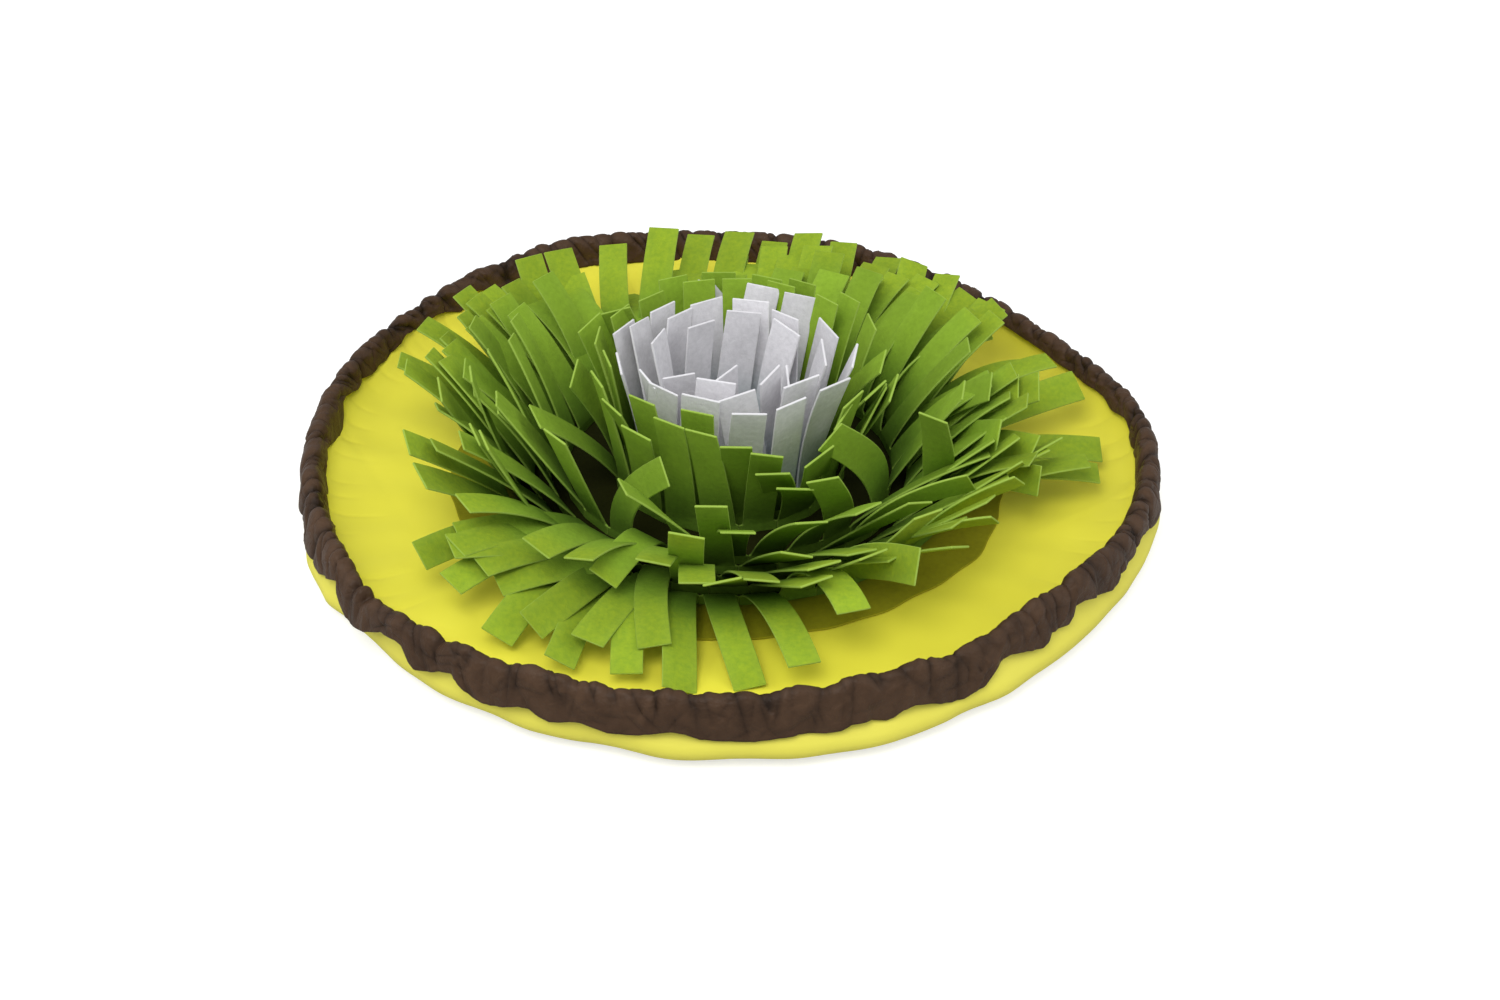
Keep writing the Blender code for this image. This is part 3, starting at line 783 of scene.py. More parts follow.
print("points of the hem, the crown and the inner edge:", len(HEM_LINE), len(CROWN_LINE), len(INNER_LINE))

# %% [markdown]
# From the lines we get three values at each angle: how far the hem hangs below the crown,
# how far the crown stands above its usual height, and how deep the casing reaches inside.
# For the last one we try many depths and keep the one that shows on the line. What doesn't
# show in the photograph is left to chance, with pleats of the same size.

# %% How the casing hangs
BAND_DROP = 20 * MM
BAND_OUT = ((0, 0), (2.4, -1.2), (4.4, -4.6), (5.6, -10.0), (6.2, -16.0), (6.6, -20.0))
BAND_IN = ((0, 0), (-2.2, -1.0), (-3.7, -4.0), (-4.4, -9.0), (-4.9, -13.5), (-5.4, -18.0))
HEM_RADIUS = CROWN_RADIUS + 7 * MM
CROWN_TURN = 2.0 * MM
CROWN_TURN_DROP = 0.65 * MM
INNER_TRIES = np.linspace(0.45, 1.3, 52)
PLEATS = 40
PLEAT_DROP = 4 * MM
HEM_SEEN = (math.radians(-166), math.radians(-14))
CROWN_SEEN = (math.radians(-152), math.radians(-24))
INNER_HIDDEN = (math.radians(-160), math.radians(-16))
INNER_BACK = (math.radians(42), math.radians(134))

crown_wave = waves_round(32, 30, 80, 0.5 * MM)


def pleat_flare(angle, seed):
    """The hem's flare: it grows over each pleat and drops back at the pleat's edge."""
    rng = np.random.default_rng(seed)
    edges = (np.arange(PLEATS) + rng.uniform(-0.3, 0.3, PLEATS)) * math.tau / PLEATS
    sizes = rng.uniform(0.3, 1.0, PLEATS)
    flare = np.zeros_like(angle)
    for i, size in enumerate(sizes):
        start, end = edges[i], edges[(i + 1) % PLEATS]
        length = (end - start) % math.tau
        share = ((angle - start) % math.tau) / length
        if math.cos(start) < 0:
            share = 1 - share
        inside = (share >= 0) & (share <= 1)
        shape = smooth_step(0.05, 0.85, share) * (1 - smooth_step(0.88, 1.0, share))
        flare = np.where(inside, size * shape, flare)
    return flare


def hem_drop(angle):
    """How far the hem hangs below the crown."""
    seen = line_round([seen_on_rim(pixel, HEM_RADIUS) for pixel in HEM_LINE], angle)
    measured = CROWN_HEIGHT + crown_up(angle) * MM - seen
    chance = BAND_DROP + (pleat_flare(angle, 51) - 0.5) * PLEAT_DROP
    return chance + (measured - chance) * share_between(angle, HEM_SEEN)


def crown_lift(angle):
    """How far the crown stands above its usual height."""
    radius = CROWN_RADIUS - CROWN_TURN
    seen = line_round([seen_on_rim(pixel, radius) for pixel in CROWN_LINE], angle)
    measured = seen + CROWN_TURN_DROP - CROWN_HEIGHT - crown_up(angle) * MM
    chance = crown_wave(angle)
    return chance + (measured - chance) * share_between(angle, CROWN_SEEN)


def inner_reach(angle):
    """How far the inner side reaches down, as a share of its usual depth."""
    tries = INNER_TRIES[:, None]
    radius = CROWN_RADIUS + tries * BAND_IN[-1][0] * MM
    height = CROWN_HEIGHT + tries * BAND_IN[-1][1] * MM
    beyond = beyond_line(INNER_LINE, place_round(radius, angle[None, :], height))
    best = np.argmin(np.abs(beyond), axis=0)
    hidden = share_between(angle, INNER_HIDDEN) + share_between(angle, INNER_BACK)
    reached = blur_round(INNER_TRIES[best], 3)
    return reached + (1 - reached) * hidden


front_drop = hem_drop(np.array([-math.pi / 2]))[0]
print("the hem hangs below the crown at the front by mm:", round(float(front_drop) / MM, 1))

# %% [markdown]
# Creases in gathered cloth are sharp valleys with round puffs of cloth between them. We
# make a field of them: each crease has a place round the bowl, a depth, a width, a slant
# and a reach, which is how far it runs from the crown before it fades out. Thin cloth that
# is bunched up also has short dents and ridges in every direction, and they make a second
# field.

# %% Creases
def creases(angle, across, seed, count, depth, width, reach, slant):
    """How far gathered cloth dips, over a grid of angles and places across the strip."""
    rng = np.random.default_rng(seed)
    spacing = math.tau / count
    places = (np.arange(count) + rng.uniform(-0.42, 0.42, count)) * spacing
    dip = np.zeros(np.broadcast(angle, across).shape)
    for place in places:
        deep = depth * rng.uniform(0.35, 1.0)
        wide = width * rng.uniform(0.6, 1.4)
        far = reach * rng.uniform(0.35, 1.3)
        lean = slant * rng.uniform(-0.3, 1.0) + rng.uniform(-0.5, 0.5) * width
        away = np.abs(signed_angle(angle - place) * CROWN_RADIUS - lean * across)
        dip += deep * np.exp(-away / wide) * (1 - smooth_step(0.3 * far, far, np.abs(across)))
    return dip


def crumple(angle, across, seed, count, depth, length, width):
    """Short dents and ridges in every direction, as in thin cloth that is bunched up."""
    rng = np.random.default_rng(seed)
    field = np.zeros(np.broadcast(angle, across).shape)
    for _ in range(count):
        place, middle = rng.uniform(-math.pi, math.pi), rng.uniform(-0.9, 1.0)
        tilt = rng.uniform(0, math.pi)
        deep = depth * rng.uniform(-0.8, 1.0)
        long = length * rng.uniform(0.5, 1.5)
        run = signed_angle(angle[0] - place) * CROWN_RADIUS
        near = np.abs(run) < 3 * length
        side = (across - middle) * BAND_DROP
        along = math.cos(tilt) * run[near] + math.sin(tilt) * side
        off = math.cos(tilt) * side - math.sin(tilt) * run[near]
        field[:, near] += deep * np.exp(-np.abs(off) / width - (along / long) ** 2)
    return field


test_dips = creases(np.zeros((1, 1)), np.zeros((1, 1)), 1, 100, 1.0, 1.0 * MM, 1.0, 0.0)
print("dip at one point among 100 creases of depth 1:", round(float(test_dips[0, 0]), 2))

# %% [markdown]
# Now the casing itself. It is longer than the rim, so it stands in puffs with sharp
# creases between them. The creases are closest at the crown, where the elastic holds the
# cloth. Lower down they join into pleats. A simulation would hang the cloth its own way,
# but the photograph fixes the hem and the crown. So the strip is a grid of points, and the
# values and fields above move them.

# %% Rim band
BAND_STEPS = 1800
BAND_ROWS_OUT = 26
BAND_ROWS_IN = 16
CLOTH_THICKNESS = 0.7 * MM
PLEAT_FLARE = 2.2 * MM
FLARE_SHARE = 0.22
DEEPEST = 3.0 * MM
# seed, number, depth, width, reach and slant of each set of creases
NARROW_CREASES = (41, 132, 3.2 * MM, 1.8 * MM, 1.0, 15 * MM)
WIDE_CREASES = (42, 58, 3.0 * MM, 2.8 * MM, 2.0, 20 * MM)
# seed, number, depth, length and width of the small dents
DENTS = (43, 1300, 1.3 * MM, 6.0 * MM, 1.0 * MM)
PUFF = 1.5 * MM
FRONT_CALMED = 0.35
HEM_CALMED = 0.35
CROWN_CALMED = 0.3
CREASE_SHADE_START = 0.2 * MM
CREASE_SHADE_DEPTH = 1.3 * MM

band_angles = np.arange(BAND_STEPS) * math.tau / BAND_STEPS


def make_rim_band():
    outer = smooth_path(np.array(BAND_OUT) * MM, BAND_ROWS_OUT)
    inner = smooth_path(np.array(BAND_IN) * MM, BAND_ROWS_IN)
    profile = np.vstack([inner[::-1], outer[1:]])
    across = np.concatenate([-np.linspace(1, 0, BAND_ROWS_IN), np.linspace(0, 1, BAND_ROWS_OUT)[1:]])
    along = np.gradient(profile, axis=0)
    along /= np.linalg.norm(along, axis=1, keepdims=True)
    out_r, out_z = -along[:, 1:], along[:, :1]
    turned = band_angles[None, :]
    place = across[:, None]
    outside = np.maximum(place, 0.0)

    front = share_between(turned, CROWN_SEEN)
    tight = 1 - FRONT_CALMED * front
    dips = creases(turned, place, *NARROW_CREASES) * tight
    dips += creases(turned, place, *WIDE_CREASES) * tight
    dips += crumple(turned, place, *DENTS)
    dips -= PUFF * tight
    dips = np.where(dips > 0, DEEPEST * np.tanh(dips / DEEPEST), dips)
    dips *= 1 - HEM_CALMED * outside**2
    # how deep each point lies in a crease, for painted shade in the creases and painted light on the puffs
    crease = np.clip((dips - CREASE_SHADE_START) / CREASE_SHADE_DEPTH, -1.0, 1.0)
    dips *= 1 - CROWN_CALMED * front * (1 - np.abs(place)) ** 2
    drop = hem_drop(band_angles)[None, :]
    deep = inner_reach(band_angles)[None, :]
    hang = np.where(place > 0, drop / BAND_DROP, deep)
    slim = np.where(place > 0, 1.0, 0.5 + 0.5 * deep)
    radius = CROWN_RADIUS + profile[:, :1] * slim - dips * out_r
    height = CROWN_HEIGHT + profile[:, 1:] * hang - dips * out_z

    flare = (drop - BAND_DROP) * FLARE_SHARE + pleat_flare(turned, 52) * PLEAT_FLARE
    radius = radius + flare * smooth_step(0.25, 1.0, outside)
    height = height + crown_lift(band_angles)[None, :] * (1 - np.abs(place))
    points = place_round(radius, turned, height)
    round_run = turned * CROWN_RADIUS * np.ones_like(place)
    lay = np.stack([round_run, run_along(profile)[:, None] * np.ones_like(turned)], axis=-1)
    mesh = rings_mesh("rim_band", points, lay)
    store_values(mesh, {"crease": crease})
    piece = add_piece("rim_band", mesh, brown_cloth, ["rim_casing"])
    modifier = piece.modifiers.new("thickness", "SOLIDIFY")
    modifier.thickness = CLOTH_THICKNESS
    modifier.offset = -1.0
    return piece


rim_band = make_rim_band()

# %% [markdown]
# The dish cloth is the top of the pad. It lies flat under the felt and rises towards the
# rim, where the gathers run into it as short soft valleys that fade out. Its edge goes up
# inside the casing and follows the crown. Because cloth that has been folded flat for
# shipping keeps a few marks, some long faint creases cross it as well.

# %% Dish cloth
backing_low, backing_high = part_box("fringe_backing")
DISH_HEIGHT = backing_low.z - 0.5 * MM
DISH_PROFILE = (
    (3, 0.0), (60, 0.0), (120, 0.0), (168, 0.0), (190, 0.5), (208, 1.8), (222, 4.0),
    (231, 6.8), (235.6, 10.0), (239.2, 14.0), (241.6, 18.5), (242.3, 21.5), (242.5, 24.0),
)
DISH_ROWS = 96
dish_swell = waves_round(8, 4, 13, 0.8 * MM)
dish_ripple = waves_round(9, 16, 40, 0.35 * MM)
# distance from the middle in mm, direction in degrees and depth in mm
FOLD_MARKS = ((205, 34, 0.5), (150, -58, -0.4), (212, 118, 0.45), (190, -152, 0.5), (205, -20, -0.35))
FOLD_WIDTH = 2.5 * MM
LOOSE_RADII = (166 * MM, 215 * MM)
DISH_CREASES = (21, 74, 1.5 * MM, 3.2 * MM, 0.55, 6 * MM)
DISH_CREASE_TOP = 240 * MM
DISH_CREASE_RUN = 60 * MM
DISH_CREASE_RADII = (176 * MM, 205 * MM)
DISH_EDGE_RADII = (239 * MM, 242 * MM)

dish_profile = smooth_path(np.array(DISH_PROFILE) * MM + np.array([0.0, DISH_HEIGHT]), DISH_ROWS)


def dish_height(radius, angle):
    """The height of the dish's surface."""
    height = np.interp(radius, dish_profile[:, 0], dish_profile[:, 1])
    loose = smooth_step(*LOOSE_RADII, radius)
    height = height + loose * (dish_swell(angle) + dish_ripple(angle))
    for far, degrees, deep in FOLD_MARKS:
        along = math.radians(degrees)
        away = np.abs(radius * np.cos(angle - along) - far * MM)
        height = height - deep * MM * np.exp(-away / FOLD_WIDTH) * loose
    return height


def make_dish_cloth():
    radius = dish_profile[:, :1] * np.ones((1, ROUND_STEPS))
    height = dish_height(radius, angles[None, :])
    across = (DISH_CREASE_TOP - radius) / DISH_CREASE_RUN
    dips = creases(angles[None, :], across, *DISH_CREASES)
    height = height - dips * smooth_step(*DISH_CREASE_RADII, radius)
    height = height + crown_lift(angles)[None, :] * smooth_step(*DISH_EDGE_RADII, radius)
    points = place_round(radius, angles[None, :], height)
    pole = [[0.0, 0.0, float(dish_profile[0, 1])]]
    mesh = rings_mesh("dish_cloth", points, flat_lay(dish_profile, angles), pole=pole)
    return add_piece("dish_cloth", mesh, yellow_cloth, ["top_cover"])


dish_cloth = make_dish_cloth()

# %% [markdown]
# Under the fringe lies a disc of felt that the strips are sewn to. It shows as an olive
# rim outside the outermost ring. Felt cut by hand is never quite round, so its outline
# has slightly flat stretches, and its edge is as thick as the felt. Between the rings
# hardly any light reaches it, so there it gets painted shade, close to black.

# %% Backing disc
DISC_STEPS = 360
DISC_SIDES = 28
DISC_FLATNESS = 0.004
DISC_BEVEL = 0.4 * MM
DISC_SINK = 0.2 * MM
DISC_SHARES = (0.97, 0.92, 0.88, 0.84, 0.81, 0.78, 0.72, 0.5, 0.25, 0.05)
# radii over which the disc's painted shade fades out, with how far it reaches below zero
SHADE_RADII = (128 * MM, 142 * MM)
PAINTED_LIGHT_GAIN = 1.35
PAINTED_LIGHT_LOSS = 0.35
DISC_WOBBLE = waves_round(61, 5, 14, 0.8 * MM)
backing_radius = (backing_high.x - backing_low.x) / 2
# the last number is the level of the darkest painted shade
backing_felt = make_felt(
    "backing_felt", (0.285, 0.262, 0.010), (0.33, 0.30, 0.02), (0.29, 0.27, 0.012), 0.30
)


def make_backing_disc():
    turned = np.arange(DISC_STEPS) * math.tau / DISC_STEPS
    corner = np.abs((turned * DISC_SIDES / math.tau + 0.5) % 1 - 0.5)
    edge = backing_radius * (1 - DISC_FLATNESS * np.cos(corner * math.tau)) + DISC_WOBBLE(turned)
    rows = []
    low = backing_low.z - DISC_SINK
    high = backing_high.z
    heights = (low, low + DISC_BEVEL, high - DISC_BEVEL, high)
    for inset, height in zip((DISC_BEVEL, 0.0, 0.0, DISC_BEVEL), heights):
        rows.append((edge - inset, np.full_like(edge, height)))
    for share in DISC_SHARES:
        rows.append((edge * share, np.full_like(edge, high)))
    points = np.array([np.stack([r * np.cos(turned), r * np.sin(turned), h], axis=-1) for r, h in rows])
    mesh = rings_mesh("backing_disc", points, points[..., :2], cap=True)
    far = np.hypot(points[..., 0], points[..., 1])
    values = {
        "tone": np.full_like(far, 0.5),
        # painted shade: inside the shade radii the disc is painted close to black
        "painted_light_share": smooth_step(*SHADE_RADII, far) * PAINTED_LIGHT_GAIN - PAINTED_LIGHT_LOSS,
    }
    store_values(mesh, values)
    return add_piece("backing_disc", mesh, backing_felt, ["fringe_backing"], 40)


backing_disc = make_backing_disc()

# %% [markdown]
# Each ring of fringe is a band of felt, sewn on by its lower edge and cut into strips from
# its upper one. A strip is a flat ribbon that starts upright on its ring. It can lean out
# from the bowl's middle, bend further on its way up, turn sideways in its own plane and
# twist about its length. We walk along all strips of a ring at once and keep a small frame
# of three directions for each: along the strip, across it, and out of its face. Where a
# strip would go into the dish it lies down on it instead.

# %% Strips as bent ribbons
FELT = 1.4 * MM
UNCUT = 6 * MM
SLIT = 1.2 * MM
STRIP_STEPS = 14
LYING_GAP = 0.5 * MM
LYING_TWIST = 0.4
BAND_SEAT = 0.3 * MM
backing_top = backing_high.z


def turn_pair(first, second, angle):
    """Turns two directions about the third, by an angle for each strip."""
    cos, sin = np.cos(angle)[:, None], np.sin(angle)[:, None]
    return first * cos + second * sin, second * cos - first * sin


def unit(vectors):
    return vectors / np.linalg.norm(vectors, axis=-1, keepdims=True)


def resting_height(points):
    """The lowest place for a strip's middle over the dish or the backing."""
    radius = np.hypot(points[:, 0], points[:, 1])
    angle = np.arctan2(points[:, 1], points[:, 0])
    low = np.where(radius < backing_radius, backing_top, dish_height(radius, angle))
    return low + FELT / 2 + LYING_GAP


def walk_strips(azimuth, radius, shape):
    """Middle line, across and face directions of each strip.

    shape has a row for each strip: lean, bend, where the bend sits, turn at the root, sweep,
    twist and length. Angles are in degrees and the length in metres.
    """
    lean, bend, sits, turn, sweep, twist, length = shape.T
    count = len(azimuth)
    zero = np.zeros(count)
    out = np.stack([np.cos(azimuth), np.sin(azimuth), zero], axis=1)
    across = np.stack([-np.sin(azimuth), np.cos(azimuth), zero], axis=1)
    along = np.tile([0.0, 0.0, 1.0], (count, 1))
    face = out.copy()
    along, face = turn_pair(along, face, np.radians(lean))
    along, across = turn_pair(along, across, np.radians(turn))
    middle = out * radius
    middle[:, 2] = backing_top + BAND_SEAT + UNCUT
    step = (length / STRIP_STEPS)[:, None]
    made = [(middle, across, face)]
    for k in range(STRIP_STEPS):
        share = (k + 0.5) / STRIP_STEPS
        bend_now = np.radians(bend) * (1 + sits * (1 - 2 * share)) / STRIP_STEPS
        sweep_now = np.radians(sweep) * 2 * (1 - share) / STRIP_STEPS
        along, face = turn_pair(along, face, bend_now)
        along, across = turn_pair(along, across, sweep_now)
        across, face = turn_pair(across, face, np.radians(twist) * 2 * (1 - share) / STRIP_STEPS)
        there = middle + along * step
        floor_height = resting_height(there)
        low = there[:, 2] < floor_height
        if low.any():
            there[low, 2] = floor_height[low]
            along[low] = unit(there[low] - middle[low])
            flatter = across[low]
            flatter[:, 2] *= LYING_TWIST
            flatter -= along[low] * np.sum(flatter * along[low], axis=1)[:, None]
            across[low] = unit(flatter)
            face[low] = np.cross(across[low], along[low])
        middle = there
        made.append((middle, across, face))
    return [np.stack(part, axis=1) for part in zip(*made)]


test_strip = np.array([[30.0, 40.0, 0.0, 0.0, 0.0, 0.0, 82 * MM]])
test_end = walk_strips(np.zeros(1), 100 * MM, test_strip)[0][0, -1]
print("a strip that leans 30 and bends 40 degrees ends at mm", (test_end / MM).round(1).tolist())

# %% [markdown]
# The mesh of a strip is a closed ribbon with a twelve-sided cross-section, so its long
# edges have a narrow bevel that catches light. Four values are stored on its points for
# the felt material: how close a point is to a cut edge, how light the strip's tone is, how
# much painted light comes through it, and how much painted shade it gets. The last two
# follow from where the point is: far out the strip lies over pale cloth and gets painted
# light, and near its root it gets painted shade.

# %% Strip mesh
BEVEL = 0.35 * MM


def cross_section(half_width):
    """Places across and out of the face, and how near each is to a cut edge."""
    w, h, e = half_width, FELT / 2, BEVEL
    face_side = [(-w + e, h), (-w / 3, h), (w / 3, h), (w - e, h)]
    right_side = [(w, h - e), (w, -h + e)]
    back_side = [(-x, -y) for x, y in face_side]
    left_side = [(-x, -y) for x, y in right_side]
    nearness = [0.1, 0, 0, 0.1, 1, 1] * 2
    return np.array(face_side + right_side + back_side + left_side), np.array(nearness)


# painted shade: a strip's colour is darkened from this share of its length down to its root
ROOT_SHADE = (0.0, 0.62)
# painted light: between these radii the strips lie over the pale dish and get the light that comes through
# them
LIGHT_RADII = (152 * MM, 172 * MM)


def strip_pitch(radius, count):
    """How far apart the roots of two neighbours stand."""
    return 2 * radius * math.sin(math.pi / count)


def ribbon_ring(centre, across, face, section):
    """The points of a cross-section, set round the centre of each strip."""
    return centre[:, None] + across[:, None] * section[..., :1] + face[:, None] * section[..., 1:]


def fringe_mesh(name, azimuth, radius, shape, width, tone):
    """All strips of one ring as one mesh. The width of each is a share of its full width."""
    middle, across, face = walk_strips(azimuth, radius, shape)
    count = len(azimuth)
    half_pitch = strip_pitch(radius, count) / 2
    foot_section, nearness = cross_section(half_pitch)
    full_width, thick = cross_section(half_pitch - SLIT / 2)[0].T
    widths = width[:, None] * full_width
    strip_section = np.stack([widths, np.broadcast_to(thick, widths.shape)], axis=2)
    foot = middle[:, 0].copy()
    foot[:, 2] = backing_top + BAND_SEAT
    upright = np.stack([np.cos(azimuth), np.sin(azimuth), np.zeros(count)], axis=1)
    sideways = np.stack([-np.sin(azimuth), np.cos(azimuth), np.zeros(count)], axis=1)
    rows = []
    for height in (0.0, UNCUT * 0.9):
        centre = foot + np.array([0, 0, height])
        rows.append(ribbon_ring(centre, sideways, upright, foot_section))
    for k in range(STRIP_STEPS + 1):
        rows.append(ribbon_ring(middle[:, k], across[:, k], face[:, k], strip_section))
    tip = middle[:, -1] + unit(middle[:, -1] - middle[:, -2]) * BEVEL
    tip_section = strip_section * np.array([1 - BEVEL / half_pitch, 1 - BEVEL / (FELT / 2)])
    rows.append(ribbon_ring(tip, across[:, -1], face[:, -1], tip_section))
    grid = np.stack(rows, axis=1)
    levels, sides = grid.shape[1], grid.shape[2]
    per_strip = levels * sides
    quads = []
    for row in range(levels - 1):
        for side in range(sides):
            a = row * sides + side
            b = row * sides + (side + 1) % sides
            quads.append((a, a + sides, b + sides, b))
    bottom = tuple(range(sides))
    top = tuple((levels - 1) * sides + i for i in reversed(range(sides)))
    faces = []
    for i in range(count):
        start = i * per_strip
        faces += [tuple(v + start for v in quad) for quad in quads + [bottom, top]]
    mesh = bpy.data.meshes.new(name)
    mesh.from_pydata(grid.reshape(-1, 3).tolist(), [], faces)
    edge = np.tile(nearness, (count, levels, 1))
    edge[:, -1] = 1.0
    share = np.concatenate([[0, 0], np.linspace(0, 1, STRIP_STEPS + 1), [1]])
    far = np.hypot(grid[..., 0], grid[..., 1])
    values = {
        "cut_edge": edge,
        "tone": np.broadcast_to(tone[:, None, None], edge.shape),
        # the next two are painted light far out over the pale dish and painted shade near the root
        "light_through": smooth_step(*LIGHT_RADII, far),
        "painted_light_share": np.broadcast_to(smooth_step(*ROOT_SHADE, share)[None, :, None], edge.shape),
    }
    store_values(mesh, values)
    return mesh


# %% [markdown]
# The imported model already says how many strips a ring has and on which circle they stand.
# We read both from the lowest points of its solid, so the fringe can't drift from it.

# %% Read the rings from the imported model
RINGS = (
    "white_fringe_inner",
    "white_fringe_middle",
    "white_fringe_outer",
    "green_collar_inner",
    "green_collar_outer",
    "green_skirt_first",
    "green_skirt_second",
    "green_skirt_third",
    "green_skirt_fourth",
    "green_skirt_outermost",
)


def read_ring(node):
    """The ring's radius and the azimuths at which its strips stand."""
    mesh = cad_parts[node].data
    points = np.empty(len(mesh.vertices) * 3)
    mesh.vertices.foreach_get("co", points)
    points = points.reshape(-1, 3)
    foot = points[points[:, 2] < points[:, 2].min() + 0.5 * MM]
    radius = float(np.hypot(foot[:, 0], foot[:, 1]).mean())
    degrees = np.degrees(np.arctan2(foot[:, 1], foot[:, 0])).round(1)
    count = len(np.unique(degrees)) // 2
    return radius, np.arange(count) * math.tau / count


ring_places = {node: read_ring(node) for node in RINGS}
for node, (radius, azimuth) in ring_places.items():
    print(f"{node}: {len(azimuth)} strips on a circle of {radius / MM:.1f} mm")

# %% [markdown]
# How a strip stands depends on its ring and on its side of the bowl. White strips are
# nearly upright. At the back the green ones arch over like petals. On the left they stand
# steep, on the left of the front they lie out on the dish, and on the right of the front
# they point at the camera or were pushed over sideways. At the left of the back the inner
# skirts hang low, so the dish shows on both sides of one single strip. Each ring has the
# places where its stance changes, and the strips between two places are blended.

# %% How each ring stands
# ring: the places, then the lean, the bend and the sweep at each, all in degrees
SKIRT_PLACES = (0, 30, 60, 90, 118, 145, 165, 185, 205, 222, 250, 266, 290, 308, 325, 345)
STANCES = {
    "white_fringe_inner": ((0,), (5,), (5,), (0,)),
    "white_fringe_middle": ((0,), (8,), (7,), (0,)),
    "white_fringe_outer": ((0,), (10,), (9,), (0,)),
    "green_collar_inner": ((0, 270), (9, 8), (6, 4), (0, 0)),
    "green_collar_outer": ((0, 270), (9, 8), (8, 6), (0, 0)),
    "green_skirt_first": (
        SKIRT_PLACES,
        (26, 20, 24, 30, 34, 16, 12, 14, 20, 26, 24, 28, 30, 34, 36, 28),
        (24, 24, 40, 60, 78, 24, 12, 14, 16, 34, 40, 26, 26, 18, 12, 20),
        (0, -4, 0, 0, 0, 4, -6, -20, -18, 6, 0, 0, 8, 22, 44, 16),
    ),
    "green_skirt_second": (
        SKIRT_PLACES,
        (32, 24, 26, 32, 38, 20, 16, 20, 26, 40, 34, 45, 50, 48, 42, 32),
        (26, 26, 38, 56, 78, 24, 14, 16, 18, 34, 42, 8, 4, 4, 8, 22),
        (0, -4, 0, 0, 0, 4, -8, -22, -20, 6, 0, 0, 8, 28, 50, 16),
    ),
    "green_skirt_third": (
        SKIRT_PLACES,
        (38, 28, 28, 34, 44, 25, 20, 26, 32, 48, 44, 47, 50.5, 49, 44, 37),
        (28, 26, 36, 48, 80, 27, 16, 18, 20, 34, 42, 8, 4, 4, 6, 24),
        (0, -4, 0, 0, 0, 4, -8, -24, -22, 6, 0, 0, 10, 30, 56, 16),
    ),
    "green_skirt_fourth": (
        SKIRT_PLACES,
        (45, 33, 32, 37, 52, 30, 26, 32, 38, 56, 52, 48.5, 51, 49.5, 46, 43),
        (30, 28, 34, 40, 80, 30, 18, 18, 20, 32, 42, 8, 4, 4, 4, 26),
        (0, -4, 0, 0, 0, 4, -8, -26, -24, 6, 0, 0, 12, 34, 60, 16),
    ),
    "green_skirt_outermost": (
        (0, 60, 90, 145, 180, 220, 270, 284, 294, 318, 332, 345),
        (48, 40, 40, 40, 46, 60, 62, 44, 24, 30, 44, 50),
        (34, 26, 24, 28, 32, 44, 48, 56, 4, 4, 12, 30),
        (0, 0, 0, 0, 0, 0, 0, 0, 84, 76, 46, 10),
    ),
}
# at the back the strips of the inner skirts are a little shorter, in mm
SKIRT_LONGER = (0, 0, -4, -8, -8, 0, 0, 0, 0, 0, 0, 0, 0, 0, 0, 0)
STANCE_BLUR_DEGREES = 3.5
# how far chance moves the lean, bend, sweep and twist in degrees and the length in mm
SPREADS = (4.5, 8.0, 7.0, 13.0, 3.0)
UPRIGHT_SPREADS = (3.0, 4.0, 3.5, 8.0, 1.5)
TURN_SHARE = 0.3
STRIP_LENGTH = 82 * MM
WIDTH_SHARES = (0.84, 1.0)
BEND_PLACES = (-0.3, 0.7)
print("places where a stance is given:", sum(len(rows[0]) for rows in STANCES.values()))


def loose_shapes(node, seed):
    """The shape of each strip of a ring, by its side of the bowl and chance."""
    radius, azimuth = ring_places[node]
    count = len(azimuth)
    rng = np.random.default_rng(seed)
    places, leans, bends, sweeps = STANCES[node]
    plain = (0,) * len(places)
    extra = SKIRT_LONGER if places == SKIRT_PLACES else plain
    columns = (leans, bends, sweeps, plain, extra)
    values = []
    for column, spread in zip(columns, SPREADS if len(places) > 2 else UPRIGHT_SPREADS):
        calm = measured_round(zip(places, column), STANCE_BLUR_DEGREES)(azimuth)
        values.append(calm + rng.uniform(-spread, spread, count))
    lean, bend, sweep, twist, longer = values
    sits = rng.uniform(*BEND_PLACES, count)
    turn = sweep * TURN_SHARE
    sweep = sweep * (1 - TURN_SHARE)
    shape = np.stack([lean, bend, sits, turn, sweep, twist, STRIP_LENGTH + longer * MM], axis=1)
    return shape, rng.uniform(*WIDTH_SHARES, count), rng.uniform(0, 1, count)


# %% [markdown]
# Chance alone gives a fringe that looks combed. In the photograph the strips have fallen
# their own ways: some lie on the dish, some fold over, and on the right of the front a
# whole stretch is swept sideways. So the strips that show clearly are aimed. For each we
# read off the photograph where the two corners of its cut end show, first the clockwise
# one as seen from above, and give the place of its root. Where it helps we also say how
# far it leans and bends.

